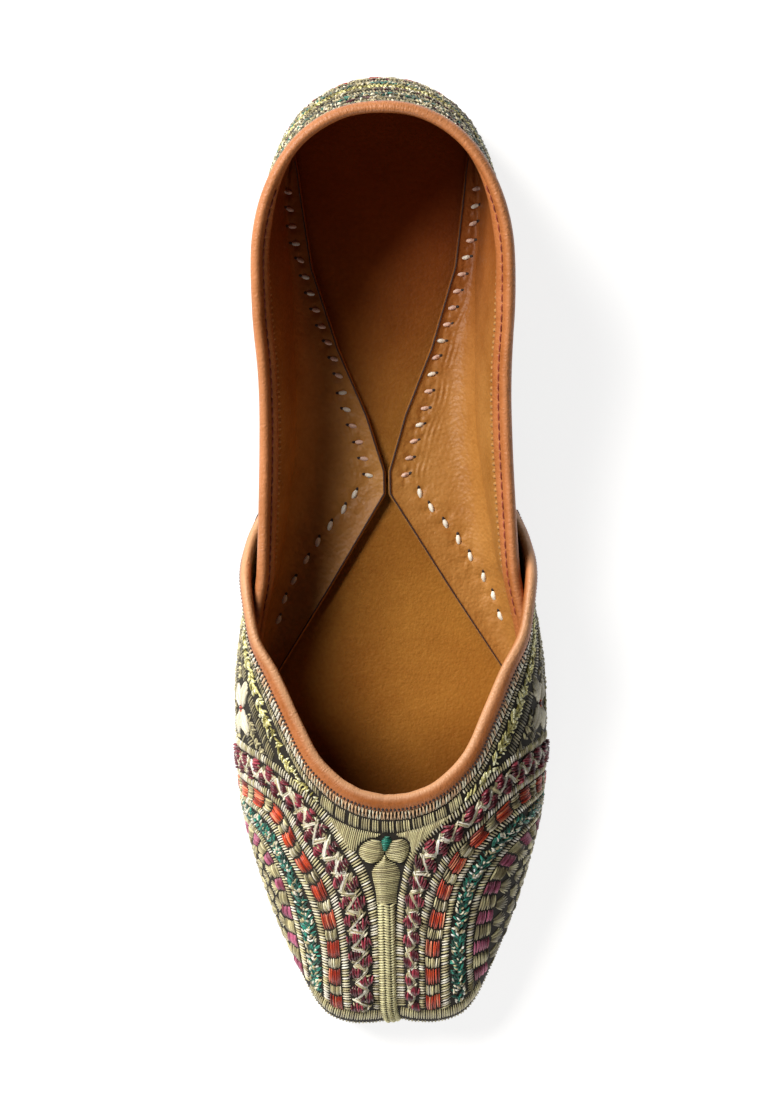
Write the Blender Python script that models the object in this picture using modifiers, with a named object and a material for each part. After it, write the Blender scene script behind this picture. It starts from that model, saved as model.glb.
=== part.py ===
"""An embroidered slip-on jutti: one straight-lasted shoe, empty, standing on its flat leather sole.

The toe points to -Y, the heel to +Y, and the shoe mirrors across X.
Sizes are millimetres until a point is placed, where MM turns them to metres.
"""

import math
from collections import namedtuple

import bmesh
import bpy
import numpy as np

MM = 0.001

# Driving dimensions, in millimetres
LENGTH = 254.6
BALL_WIDTH = 84.0
INSTEP_HEIGHT = 38.0
HEEL_HEIGHT = 51.0

# Thicknesses and fits, in millimetres
SOLE_THICKNESS = 4.5
SOLE_MARGIN = 2.6
SOLE_EDGE_BEVEL = 0.6
INSOLE_THICKNESS = 1.8
VAMP_WALL = 2.0
VAMP_OFFSET = 0.8
QUARTER_WALL = 1.6
FLAP_THICKNESS = 1.1
BINDING_RADIUS = 1.6
WING_STAND_OFF = 2.0
SPINE_THICKNESS = 1.0
SPINE_WIDTH = 4.6
GAP = 0.3

# How the flat sole lifts off the floor, in millimetres
TOE_SPRING = 4.5
TOE_SPRING_RUN = 42.0
WAIST_LIFT = 1.4
WAIST_START = 98.0
WAIST_END = 186.0

# The last's outline at the feather edge, from the toe to the heel.
# along: share of the length from the toe; half: share of half the ball width.
Outline = namedtuple("Outline", "along half")
LAST_OUTLINE = {
    "toe_notch": Outline(0.0166, 0.000),
    "toe_lobe": Outline(0.0126, 0.130),
    "toe_front": Outline(0.0132, 0.290),
    "toe_corner": Outline(0.0250, 0.425),
    "toe_side": Outline(0.0630, 0.550),
    "forepart": Outline(0.1320, 0.726),
    "ball_front": Outline(0.2240, 0.878),
    "ball": Outline(0.3140, 0.917),
    "wing_front": Outline(0.3970, 0.888),
    "crossing": Outline(0.4670, 0.806),
    "wing_rear": Outline(0.5120, 0.740),
    "wing_end": Outline(0.5480, 0.694),
    "waist": Outline(0.6150, 0.646),
    "mid_quarter": Outline(0.6900, 0.635),
    "heel_breast": Outline(0.7650, 0.650),
    "heel_side": Outline(0.8380, 0.660),
    "heel_turn": Outline(0.9000, 0.628),
    "heel_round": Outline(0.9530, 0.488),
    "heel_back_side": Outline(0.9820, 0.262),
    "heel_back": Outline(0.9912, 0.000),
}

# Each rib of the upper climbs from the feather edge to the topline.
# top_along, top_half and top_height place its top as shares of the length, of half the ball width and of
# the instep or heel height. rise and swell (mm) lift and bulge its foot. reach is the share of the way back
# to the foot, and drop (mm) the fall, that shape its shoulder.
Rib = namedtuple("Rib", "at top_along top_half top_height rise swell reach drop")
VAMP_RIBS = [
    Rib("wing_end", 0.545, 0.730, 0.26, 1.5, 0.2, 0.3, 1.5),
    Rib("wing_rear", 0.511, 0.800, 0.58, 6.0, 0.8, 0.3, 6.0),
    Rib("crossing", 0.465, 0.846, 0.84, 9.0, 1.4, 0.3, 9.0),
    Rib("wing_front", 0.416, 0.826, 0.92, 14.0, 2.2, 0.4, 9.0),
    Rib("ball", 0.374, 0.722, 0.95, 16.0, 2.2, 0.5, 7.5),
    Rib("ball_front", 0.327, 0.606, 0.97, 15.0, 2.2, 0.5, 7.0),
    Rib("forepart", 0.288, 0.494, 0.98, 13.0, 2.2, 0.5, 8.0),
    Rib("toe_side", 0.264, 0.365, 0.99, 11.0, 2.0, 0.5, 9.0),
    Rib("toe_corner", 0.251, 0.250, 1.00, 10.0, 1.4, 0.5, 10.0),
    Rib("toe_front", 0.2445, 0.145, 1.00, 9.5, 1.0, 0.5, 10.5),
    Rib("toe_lobe", 0.2420, 0.062, 1.00, 9.2, 0.8, 0.5, 10.5),
    Rib("toe_notch", 0.2415, 0.000, 1.00, 8.8, 0.6, 0.5, 10.7),
]
QUARTER_RIBS = [
    Rib("wing_front", 0.405, 0.806, 0.54, 8.0, 0.5, 0.3, 8.0),
    Rib("crossing", 0.465, 0.776, 0.60, 9.0, 0.6, 0.3, 9.0),
    Rib("wing_rear", 0.512, 0.756, 0.65, 10.0, 1.0, 0.3, 10.0),
    Rib("waist", 0.610, 0.730, 0.71, 11.0, 1.4, 0.3, 11.0),
    Rib("mid_quarter", 0.680, 0.728, 0.78, 12.0, 1.8, 0.3, 12.0),
    Rib("heel_breast", 0.750, 0.754, 0.86, 13.0, 2.2, 0.3, 13.0),
    Rib("heel_side", 0.818, 0.748, 0.93, 15.0, 2.8, 0.3, 14.0),
    Rib("heel_turn", 0.872, 0.660, 0.97, 16.0, 3.2, 0.3, 14.0),
    Rib("heel_round", 0.915, 0.488, 0.99, 17.0, 3.4, 0.3, 15.0),
    Rib("heel_back_side", 0.940, 0.256, 1.00, 18.0, 3.4, 0.3, 15.0),
    Rib("heel_back", 0.947, 0.000, 1.00, 18.0, 3.4, 0.3, 15.0),
]

# The lining flaps' inner edge on the insole: where along the shoe (mm) and how far from its middle (mm).
FlapEdge = namedtuple("FlapEdge", "along half")
FLAP_EDGE = [
    FlapEdge(92.0, 32.5),
    FlapEdge(142.0, 0.7),
    FlapEdge(151.0, 0.7),
    FlapEdge(164.0, 4.8),
    FlapEdge(182.0, 11.2),
    FlapEdge(204.0, 17.6),
    FlapEdge(236.0, 21.4),
]
FLAP_CURL_RADIUS = 8.0
FLAP_EDGE_CLEARANCE = 1.4

# Facets
COLUMNS_PER_RIB = 3
VAMP_ROWS = 10
QUARTER_ROWS = 8
SOLE_COLUMNS_PER_RIB = 2
SOLE_ROWS = 3
FLAP_COLUMNS = 6
FLAP_ROWS = 24
SPINE_COLUMNS = 4
SPINE_ROWS = 14
SPINE_START = 0.05
SPINE_END = 0.66
SOLE_SPINE_MARGIN = 20.0
NORMAL_STEP = 0.04

EMBROIDERY_CLOTH = ("embroidered cloth", (0.45, 0.40, 0.27), 0.75)
GOLD_BRAID = ("gold braid", (0.62, 0.56, 0.35), 0.55)
BINDING_LEATHER = ("binding leather", (0.58, 0.24, 0.10), 0.45)
LINING_LEATHER = ("lining leather", (0.42, 0.20, 0.07), 0.50)
INSOLE_LEATHER = ("insole leather", (0.33, 0.13, 0.03), 0.50)
SOLE_LEATHER = ("sole leather", (0.16, 0.09, 0.05), 0.60)


def smooth_step(value, start, end):
    share = min(max((value - start) / (end - start), 0.0), 1.0)
    return share * share * (3 - 2 * share)


def floor_lift(along):
    """Height of the sole's underside over the floor: toe spring in front, a low arch at the waist."""
    spring = TOE_SPRING * max(0.0, 1 - along / TOE_SPRING_RUN) ** 2
    span = WAIST_END - WAIST_START
    arch = WAIST_LIFT * math.sin(math.pi * min(max((along - WAIST_START) / span, 0.0), 1.0)) ** 2
    return spring + arch


def sole_top(along):
    return floor_lift(along) + SOLE_THICKNESS


def smooth_row(rows, at):
    """The row at a fractional place in a table, on a smooth curve through its rows."""
    last = len(rows) - 1
    first = min(max(int(math.floor(at)), 0), last - 1)
    share = at - first
    p1, p2 = rows[first], rows[first + 1]
    p0 = rows[first - 1] if first > 0 else 2 * p1 - p2
    p3 = rows[first + 2] if first + 2 <= last else 2 * p2 - p1
    return 0.5 * (
        2 * p1
        + (p2 - p0) * share
        + (2 * p0 - 5 * p1 + 4 * p2 - p3) * share**2
        + (3 * p1 - p0 - 3 * p2 + p3) * share**3
    )


def outline_row(name):
    """Feather edge point of the +X side, as along and half width in millimetres."""
    edge = LAST_OUTLINE[name]
    return np.array([edge.along * LENGTH, edge.half * BALL_WIDTH / 2])


def rib_row(rib, height):
    """One rib as numbers: foot along, foot half, top along, top half, top height, rise, swell, reach, drop."""
    foot = outline_row(rib.at)
    top = [rib.top_along * LENGTH, rib.top_half * BALL_WIDTH / 2, rib.top_height * height]
    return np.array([*foot, *top, rib.rise, rib.swell, rib.reach, rib.drop])


def both_sides(rows, half_columns):
    """Rows that end on the shoe's middle, carried on down the other side with the half widths turned round."""
    turned = []
    for row in rows[-2::-1]:
        other = row.copy()
        other[half_columns] *= -1
        turned.append(other)
    return [*rows, *turned]


RIB_HALVES = [1, 3]
# Both tables run counter-clockwise seen from above, so that outwards is always on the right of the run.
VAMP_TABLE = both_sides([rib_row(rib, INSTEP_HEIGHT) for rib in VAMP_RIBS], RIB_HALVES)[::-1]
QUARTER_TABLE = both_sides([rib_row(rib, HEEL_HEIGHT) for rib in QUARTER_RIBS], RIB_HALVES)
# The whole outline, with rows at each end that carry it on past the heel, so that it closes smoothly.
OUTLINE_TABLE = both_sides([outline_row(name) for name in reversed(LAST_OUTLINE)], [1])[::-1]
OUTLINE_TABLE = [*OUTLINE_TABLE[-3:-1], *OUTLINE_TABLE, *OUTLINE_TABLE[1:3]]
OUTLINE_ROWS_PAST_HEEL = 2


def foot_and_outward(table, at):
    """The feather edge at a place in a table, and the level direction that points out of the shoe there."""
    here = smooth_row(table, at)[:2]
    step = smooth_row(table, at + NORMAL_STEP)[:2] - smooth_row(table, at - NORMAL_STEP)[:2]
    run_x, run_y = step[1], step[0]
    length = math.hypot(run_x, run_y)
    return here, np.array([run_y, -run_x]) / length


def place(half, along, height):
    """A point in metres, from millimetres across the shoe, along it from the toe, and up."""
    return np.array([half, along - LENGTH / 2, height]) * MM


def rib_handles(table, at, offset, lift):
    """The four control points (mm, as half, along, height) of the rib at a place in a table."""
    row = smooth_row(table, at)
    (along, half), outward = foot_and_outward(table, at)
    top_along, top_half, top_height, rise, swell, reach, drop = row[2:]
    foot = np.array([half + outward[0] * offset, along + outward[1] * offset, sole_top(along) + lift])
    top = np.array([top_half, top_along, top_height])
    low = foot + np.array([outward[0] * swell, outward[1] * swell, rise])
    high = top + (foot - top) * np.array([reach, reach, 0.0]) - np.array([0.0, 0.0, drop])
    return foot, low, high, top


def rib_point(table, at, share, offset, lift):
    """A point of the upper's inner face: a place in its table, and a share of the climb to the topline."""
    foot, low, high, top = rib_handles(table, at, offset, lift)
    back = 1 - share
    point = back**3 * foot + 3 * back**2 * share * low + 3 * back * share**2 * high + share**3 * top
    return place(*point)


def vamp_point(at, share):
    return rib_point(VAMP_TABLE, at, share, VAMP_OFFSET, GAP)


def quarter_point(at, share):
    return rib_point(QUARTER_TABLE, at, share, 0.0, 2 * GAP)


def outward_normal(surface, at, share):
    """Unit normal of one of the upper's faces, pointing out of the shoe."""
    near, far = max(share - NORMAL_STEP, 0.0), min(share + NORMAL_STEP, 1.0)
    run = surface(at + NORMAL_STEP, share) - surface(at - NORMAL_STEP, share)
    climb = surface(at, far) - surface(at, near)
    normal = np.cross(run, climb)
    return normal / np.linalg.norm(normal)


def collection_named(name):
    made = bpy.data.collections.new(name)
    bpy.context.scene.collection.children.link(made)
    return made


def leather_or_cloth(finish):
    name, colour, roughness = finish
    material = bpy.data.materials.get(name) or bpy.data.materials.new(name)
    material.use_nodes = True
    shader = material.node_tree.nodes["Principled BSDF"]
    shader.inputs["Base Color"].default_value = (*colour, 1.0)
    shader.inputs["Roughness"].default_value = roughness
    shader.inputs["Metallic"].default_value = 0.0
    return material


def sheet(name, columns, rows, point, finish, collection):
    """An open sheet: a grid whose corners are moved to point(column share, row share)."""
    grid = bmesh.new()
    bmesh.ops.create_grid(grid, x_segments=columns, y_segments=rows, size=1.0)
    for vertex in grid.verts:
        vertex.co = point((vertex.co.x + 1) / 2, (vertex.co.y + 1) / 2)
    bmesh.ops.remove_doubles(grid, verts=grid.verts, dist=1e-6)
    mesh = bpy.data.meshes.new(name)
    grid.to_mesh(mesh)
    grid.free()
    mesh.shade_smooth()
    made = bpy.data.objects.new(name, mesh)
    made.data.materials.append(leather_or_cloth(finish))
    collection.objects.link(made)
    return made


def thicken(made, thickness, side):
    """Gives a sheet its wall, on the side that its faces point to (+1) or behind them (-1)."""
    wall = made.modifiers.new("wall", "SOLIDIFY")
    wall.thickness = thickness * MM
    wall.offset = side
    wall.use_even_offset = True


def vamp_sheet(collection):
    last = len(VAMP_TABLE) - 1
    made = sheet(
        "upper",
        last * COLUMNS_PER_RIB,
        VAMP_ROWS,
        lambda column, row: vamp_point(column * last, row),
        EMBROIDERY_CLOTH,
        collection,
    )
    thicken(made, VAMP_WALL, 1.0)
    return made


def quarter_sheet(collection):
    last = len(QUARTER_TABLE) - 1
    made = sheet(
        "quarter_form",
        last * COLUMNS_PER_RIB,
        QUARTER_ROWS,
        lambda column, row: quarter_point(column * last, row),
        EMBROIDERY_CLOTH,
        collection,
    )
    thicken(made, QUARTER_WALL, 1.0)
    made.hide_render = True
    made.display_type = "WIRE"
    return made


def upper(collection, cutters):
    """One hollow upper: the vamp's wall joined to the quarters', whose front ends lie inside its wings."""
    made = vamp_sheet(collection)
    join = made.modifiers.new("quarters", "BOOLEAN")
    join.operation = "UNION"
    join.object = quarter_sheet(cutters)
    return made


def footprint(name, margin, height_over_sole, finish, collection):
    """A sheet on the sole's curve with the last's outline grown by margin (mm), as a fan about the middle."""
    spans = len(OUTLINE_TABLE) - 1 - 2 * OUTLINE_ROWS_PAST_HEEL

    def point(column, row):
        at = OUTLINE_ROWS_PAST_HEEL + column * spans
        (along, half), outward = foot_and_outward(OUTLINE_TABLE, at)
        edge_half = half + outward[0] * margin
        edge_along = along + outward[1] * margin
        middle = min(max(edge_along, SOLE_SPINE_MARGIN), LENGTH - SOLE_SPINE_MARGIN)
        out = 1 - row
        here = middle + (edge_along - middle) * out
        return place(edge_half * out, here, sole_top(here) + height_over_sole)

    return sheet(name, spans * SOLE_COLUMNS_PER_RIB, SOLE_ROWS, point, finish, collection)


def outsole(collection):
    made = footprint("outsole", SOLE_MARGIN, 0.0, SOLE_LEATHER, collection)
    thicken(made, SOLE_THICKNESS, -1.0)
    edge = made.modifiers.new("trimmed edge", "BEVEL")
    edge.width = SOLE_EDGE_BEVEL * MM
    edge.segments = 1
    edge.limit_method = "ANGLE"
    edge.angle_limit = math.radians(60)
    return made


def insole(collection):
    made = footprint("insole", -GAP, GAP + INSOLE_THICKNESS, INSOLE_LEATHER, collection)
    thicken(made, INSOLE_THICKNESS, -1.0)
    return made


def half_width_at(along):
    """Half width (mm) of the last's outline where it passes a place along the shoe, past the toe's corner."""
    rows = np.array([outline_row(name) for name in LAST_OUTLINE if name not in ("toe_notch", "toe_lobe", "toe_front")])
    low, high = 0.0, len(rows) - 1.0
    for _ in range(30):
        middle = (low + high) / 2
        if smooth_row(rows, middle)[0] < along:
            low = middle
        else:
            high = middle
    return smooth_row(rows, low)[1]


def lining_flap(name, side, collection):
    """One quarter's lining turned in over the insole: a sheet from the X of its inner edge out to the wall."""
    places = [edge.along for edge in FLAP_EDGE]
    halves = [edge.half for edge in FLAP_EDGE]
    bed = GAP + INSOLE_THICKNESS + GAP + FLAP_THICKNESS

    def point(column, row):
        along = places[0] + (places[-1] - places[0]) * row
        inner = np.interp(along, places, halves)
        outer = half_width_at(along) - FLAP_EDGE_CLEARANCE
        half = inner + (outer - inner) * column
        into_curl = max(0.0, half - (outer + FLAP_EDGE_CLEARANCE - FLAP_CURL_RADIUS))
        curl = FLAP_CURL_RADIUS - math.sqrt(FLAP_CURL_RADIUS**2 - into_curl**2)
        return place(side * half, along, sole_top(along) + bed + curl)

    made = sheet(name, FLAP_COLUMNS, FLAP_ROWS, point, LINING_LEATHER, collection)
    thicken(made, FLAP_THICKNESS, -side)
    return made


def binding(name, table, surface, wall, ends, stand_off, collection):
    """A rolled leather edge: a round cord that rides on the top of a wall from one end row to the other.

    stand_off (mm) is how far its ends move outwards, to pass beside what lies inside the wall there.
    """
    points = []
    last = len(table) - 1
    steps = last * COLUMNS_PER_RIB
    for step in range(steps + 1):
        at = ends + (last - 2 * ends) * step / steps
        run = surface(at + NORMAL_STEP, 1.0) - surface(at - NORMAL_STEP, 1.0)
        normal = outward_normal(surface, at, 1.0)
        over = np.cross(normal, run / np.linalg.norm(run))
        out = wall / 2 + stand_off * (1 - smooth_step(min(at, last - at), 1.2, 2.8))
        points.append(surface(at, 1.0) + (normal * out + over * (BINDING_RADIUS + GAP)) * MM)
    curve = bpy.data.curves.new(name, "CURVE")
    curve.dimensions = "3D"
    curve.bevel_depth = BINDING_RADIUS * MM
    curve.bevel_resolution = 2
    curve.use_fill_caps = True
    line = curve.splines.new("POLY")
    line.points.add(len(points) - 1)
    for spline_point, point in zip(line.points, points):
        spline_point.co = (*point, 1.0)
    made = bpy.data.objects.new(name, curve)
    made.data.materials.append(leather_or_cloth(BINDING_LEATHER))
    collection.objects.link(made)
    return made


def toe_spine(collection):
    """The raised braid down the vamp's middle, laid on the upper's own outer face."""
    middle = (len(VAMP_TABLE) - 1) / 2

    def point(column, row):
        share = SPINE_START + (SPINE_END - SPINE_START) * row
        spread = SPINE_WIDTH * MM * NORMAL_STEP / vamp_point(middle + NORMAL_STEP, share)[0]
        at = middle + (column - 0.5) * spread
        return vamp_point(at, share) + outward_normal(vamp_point, at, share) * (VAMP_WALL + GAP) * MM

    made = sheet("toe_spine", SPINE_COLUMNS, SPINE_ROWS, point, GOLD_BRAID, collection)
    thicken(made, SPINE_THICKNESS, 1.0)
    return made


def main():
    for old in list(bpy.data.objects):
        bpy.data.objects.remove(old)
    parts = collection_named("jutti")
    cutters = collection_named("forms")
    outsole(parts)
    insole(parts)
    lining_flap("lining_flap_left", -1.0, parts)
    lining_flap("lining_flap_right", 1.0, parts)
    upper(parts, cutters)
    binding("vamp_binding", VAMP_TABLE, vamp_point, VAMP_WALL, 0.2, WING_STAND_OFF, parts)
    binding("quarter_binding", QUARTER_TABLE, quarter_point, QUARTER_WALL, 0.4, 0.0, parts)
    toe_spine(parts)


main()
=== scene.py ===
import math
import bpy
import numpy as np
from mathutils import Matrix, Vector
from mathutils.bvhtree import BVHTree


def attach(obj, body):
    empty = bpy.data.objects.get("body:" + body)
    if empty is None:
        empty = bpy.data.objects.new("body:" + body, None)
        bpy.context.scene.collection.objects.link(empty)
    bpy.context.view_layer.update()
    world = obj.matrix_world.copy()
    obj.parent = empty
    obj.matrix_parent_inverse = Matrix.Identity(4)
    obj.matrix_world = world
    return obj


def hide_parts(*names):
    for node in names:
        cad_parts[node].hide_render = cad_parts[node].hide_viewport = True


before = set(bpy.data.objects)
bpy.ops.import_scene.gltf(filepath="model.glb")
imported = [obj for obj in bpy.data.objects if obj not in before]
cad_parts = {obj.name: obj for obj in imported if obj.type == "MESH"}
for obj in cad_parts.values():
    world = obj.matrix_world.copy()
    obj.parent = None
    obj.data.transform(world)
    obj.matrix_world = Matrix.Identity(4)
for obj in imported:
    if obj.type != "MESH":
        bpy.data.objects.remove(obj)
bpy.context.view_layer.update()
bpy.ops.object.select_all(action="DESELECT")
chance = np.random.default_rng(11)
mm = 0.001
print("frame loaded:", ", ".join(sorted(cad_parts)))

# The shoe's sizes in millimetres; the toe points to -Y and the shoe mirrors across X
shoe = {
    "length": 254.6,
    "ballWidth": 84.0,
    "instepHeight": 38.0,
    "heelHeight": 51.0,
    "soleThickness": 4.5,
    "soleMargin": 2.6,
    "insoleThickness": 1.8,
    "vampWall": 2.0,
    "vampOffset": 0.8,
    "quarterWall": 1.6,
    "gap": 0.3,
    "toeSpring": 4.5,
    "toeSpringRun": 42.0,
    "waistLift": 1.4,
    "waistStart": 98.0,
    "waistEnd": 186.0,
    "wingSpread": 2.0,       # how far the vamp's wings lean out to pass the quarters' rolled edge
    "wingRows": (1.2, 2.8),  # rows of the rib table from each end, over which that lean dies away
    "liningLean": 1.3,       # how far the quarters' lining stands in from the wall at its foot
    "liningSlack": 2.4,      # how much further the slack lining bows in along the sides
    "slackGrows": (0.0, 1.6),    # rows from each end
    "slackDies": (5.0, 7.0),
}
nudge = 0.04                 # rows of a rib table, or share of a rib, to each side where a slope is taken

# Feather edge of the last: along as a share of the length, half as a share of half the ball width
lastOutline = {
    "toeNotch": (0.0166, 0.000),
    "toeLobe": (0.0126, 0.130),
    "toeFront": (0.0132, 0.290),
    "toeCorner": (0.0250, 0.425),
    "toeSide": (0.0630, 0.550),
    "forepart": (0.1320, 0.726),
    "ballFront": (0.2240, 0.878),
    "ball": (0.3140, 0.917),
    "wingFront": (0.3970, 0.888),
    "crossing": (0.4670, 0.806),
    "wingRear": (0.5120, 0.740),
    "wingEnd": (0.5480, 0.694),
    "waist": (0.6150, 0.646),
    "midQuarter": (0.6900, 0.635),
    "heelBreast": (0.7650, 0.650),
    "heelSide": (0.8380, 0.660),
    "heelTurn": (0.9000, 0.628),
    "heelRound": (0.9530, 0.488),
    "heelBackSide": (0.9820, 0.262),
    "heelBack": (0.9912, 0.000),
}

# Ribs from the feather edge to the topline: topAlong, topHalf and topHeight as shares,
# then rise and swell (mm) over the foot, and reach (share) and drop (mm) under the top
vampRibs = {
    "wingEnd": (0.536, 0.730, 0.26, 1.5, 0.2, 0.3, 1.5),
    "wingRear": (0.505, 0.800, 0.58, 6.0, 0.8, 0.3, 6.0),
    "crossing": (0.465, 0.846, 0.84, 9.0, 1.4, 0.3, 9.0),
    "wingFront": (0.416, 0.826, 0.92, 14.0, 2.2, 0.4, 9.0),
    "ball": (0.374, 0.722, 0.95, 16.0, 2.2, 0.5, 7.5),
    "ballFront": (0.327, 0.606, 0.97, 15.0, 2.2, 0.5, 7.0),
    "forepart": (0.288, 0.494, 0.98, 13.0, 2.2, 0.5, 8.0),
    "toeSide": (0.264, 0.365, 0.99, 11.0, 2.0, 0.5, 9.0),
    "toeCorner": (0.251, 0.250, 1.00, 10.0, 1.4, 0.5, 10.0),
    "toeFront": (0.2445, 0.145, 1.00, 9.5, 1.0, 0.5, 10.5),
    "toeLobe": (0.2420, 0.062, 1.00, 9.2, 0.8, 0.5, 10.5),
    "toeNotch": (0.2415, 0.000, 1.00, 8.8, 0.6, 0.5, 10.7),
}
quarterRibs = {
    "wingFront": (0.405, 0.806, 0.54, 8.0, 0.5, 0.3, 8.0),
    "crossing": (0.465, 0.776, 0.60, 9.0, 0.6, 0.3, 9.0),
    "wingRear": (0.512, 0.756, 0.65, 10.0, 1.0, 0.3, 10.0),
    "waist": (0.610, 0.730, 0.71, 11.0, 1.4, 0.3, 11.0),
    "midQuarter": (0.680, 0.728, 0.78, 12.0, 1.8, 0.3, 12.0),
    "heelBreast": (0.750, 0.754, 0.86, 13.0, 2.2, 0.3, 13.0),
    "heelSide": (0.818, 0.748, 0.93, 15.0, 2.8, 0.3, 14.0),
    "heelTurn": (0.872, 0.660, 0.97, 16.0, 3.2, 0.3, 14.0),
    "heelRound": (0.915, 0.488, 0.99, 17.0, 3.4, 0.3, 15.0),
    "heelBackSide": (0.940, 0.256, 1.00, 18.0, 3.4, 0.3, 15.0),
    "heelBack": (0.947, 0.000, 1.00, 18.0, 3.4, 0.3, 15.0),
}


def smoothStep(value, start, end):
    share = np.clip((np.asarray(value, float) - start) / (end - start), 0.0, 1.0)
    return share * share * (3 - 2 * share)


def unit(vectors):
    return vectors / np.maximum(np.linalg.norm(vectors, axis=-1, keepdims=True), 1e-12)


def smoothRows(table, at):
    # rows of a table at fractional places, on a smooth curve through them
    table = np.asarray(table, float)
    at = np.asarray(at, float)
    first = np.clip(np.floor(at).astype(int), 0, len(table) - 2)
    share = (at - first)[..., None]
    padded = np.concatenate([[2 * table[0] - table[1]], table, [2 * table[-1] - table[-2]]])
    before, here, after, beyond = (padded[first + step] for step in range(4))
    return 0.5 * (
        2 * here
        + (after - before) * share
        + (2 * before - 5 * here + 4 * after - beyond) * share**2
        + (3 * here - before - 3 * after + beyond) * share**3
    )


def floorLift(along):
    # toe spring in front and a low arch at the waist
    spring = shoe["toeSpring"] * np.maximum(0.0, 1 - along / shoe["toeSpringRun"]) ** 2
    share = np.clip((along - shoe["waistStart"]) / (shoe["waistEnd"] - shoe["waistStart"]), 0.0, 1.0)
    return spring + shoe["waistLift"] * np.sin(math.pi * share) ** 2


def soleTop(along):
    return floorLift(along) + shoe["soleThickness"]


def inMetres(half, along, height):
    return np.stack(np.broadcast_arrays(half, along - shoe["length"] / 2, height), axis=-1) * mm


def outlineRow(name):
    along, half = lastOutline[name]
    return [along * shoe["length"], half * shoe["ballWidth"] / 2]


def bothSides(rows, halfColumns):
    # rows that end on the shoe's middle, carried on down the other side
    rows = np.asarray(rows, float)
    turned = rows[-2::-1].copy()
    turned[:, halfColumns] *= -1
    return np.concatenate([rows, turned])


def ribTable(ribs, height):
    rows = []
    for name, (topAlong, topHalf, topHeight, *shape) in ribs.items():
        top = [topAlong * shoe["length"], topHalf * shoe["ballWidth"] / 2, topHeight * height]
        rows.append([*outlineRow(name), *top, *shape])
    return bothSides(rows, [1, 3])


# All tables run counter-clockwise seen from above, so outwards is on the right of the run
vampTable = ribTable(vampRibs, shoe["instepHeight"])[::-1]
quarterTable = ribTable(quarterRibs, shoe["heelHeight"])
outlineTable = bothSides([outlineRow(name) for name in reversed(lastOutline)], [1])[::-1]
outlineTable = np.concatenate([outlineTable[-3:-1], outlineTable, outlineTable[1:3]])
vampLast = len(vampTable) - 1
quarterLast = len(quarterTable) - 1
vampMiddle = vampLast / 2


def levelOutward(table, at):
    step = smoothRows(table, at + nudge)[..., :2] - smoothRows(table, at - nudge)[..., :2]
    return unit(np.stack([step[..., 0], -step[..., 1]], axis=-1))


def ribPoints(table, at, share, offset, lift):
    at, share = np.broadcast_arrays(np.asarray(at, float), np.asarray(share, float))
    columns = np.moveaxis(smoothRows(table, at), -1, 0)
    along, half, topAlong, topHalf, topHeight, rise, swell, reach, drop = columns
    outward = levelOutward(table, at)
    footHalf = half + outward[..., 0] * offset
    footAlong = along + outward[..., 1] * offset
    foot = np.stack([footHalf, footAlong, soleTop(along) + lift], -1)
    top = np.stack([topHalf, topAlong, topHeight], -1)
    low = foot + np.stack([outward[..., 0] * swell, outward[..., 1] * swell, rise], -1)
    level = np.stack([reach, reach, np.zeros_like(reach)], -1)
    high = top + (foot - top) * level
    high[..., 2] -= drop
    climb = share[..., None]
    back = 1 - climb
    point = back**3 * foot + 3 * back**2 * climb * low + 3 * back * climb**2 * high + climb**3 * top
    return inMetres(point[..., 0], point[..., 1], point[..., 2])


def vampInner(at, share):
    return ribPoints(vampTable, at, share, shoe["vampOffset"], shoe["gap"])


def quarterInner(at, share):
    return ribPoints(quarterTable, at, share, 0.0, 2 * shoe["gap"])


def faceNormal(inner, at, share):
    run = inner(at + nudge, share) - inner(at - nudge, share)
    climb = inner(at, np.minimum(share + nudge, 1.0)) - inner(at, np.maximum(share - nudge, 0.0))
    return unit(np.cross(run, climb))


def vampFace(at, share, out):
    # the vamp out (mm) from its inner face, with the wings leaning out round the quarters' rolled edge
    fromEnd = np.minimum(at, vampLast - at)
    spread = shoe["wingSpread"] * (1 - smoothStep(fromEnd, *shoe["wingRows"])) * np.asarray(share) ** 2
    return vampInner(at, share) + faceNormal(vampInner, at, share) * ((out + spread) * mm)[..., None]


def quarterFace(at, share, out):
    out = np.broadcast_to(np.asarray(out, float), np.shape(at))
    return quarterInner(at, share) + faceNormal(quarterInner, at, share) * (out * mm)[..., None]


def quarterLiningFace(at, share, out):
    # the lining stands in from the wall more and more towards the foot, where it turns in over the insole
    fromEnd = np.minimum(at, quarterLast - at)
    slack = shoe["liningSlack"] * smoothStep(fromEnd, *shoe["slackGrows"])
    slack = slack * (1 - smoothStep(fromEnd, *shoe["slackDies"]))
    share = np.asarray(share)
    return quarterFace(at, share, out - shoe["liningLean"] * (1 - share**2) - slack * (1 - share**6))


# Materials

def srgb(code):
    values = [int(code[place:place + 2], 16) / 255 for place in (0, 2, 4)]
    return [v / 12.92 if v <= 0.04045 else ((v + 0.055) / 1.055) ** 2.4 for v in values]


def plug(tree, made, values, links):
    for name, value in values.items():
        made.inputs[name].default_value = value
    for name, source in links.items():
        tree.links.new(source, made.inputs[name])


def node(tree, kind, values=None, links=None, **settings):
    made = tree.nodes.new(kind)
    for name, value in settings.items():
        setattr(made, name, value)
    plug(tree, made, values or {}, links or {})
    return made


def newFinish(name):
    material = bpy.data.materials.new(name)
    material.use_nodes = True
    return material, material.node_tree, material.node_tree.nodes["Principled BSDF"]


def setStops(ramp, stops):
    # a ramp's stops as (place, colour)
    elements = ramp.color_ramp.elements
    for count, (place, colour) in enumerate(stops):
        element = elements[count] if count < 2 else elements.new(1.0)
        element.position = place
        element.color = (*colour, 1)


def perMetre(size):
    return 1.0 / (size * mm)


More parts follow.
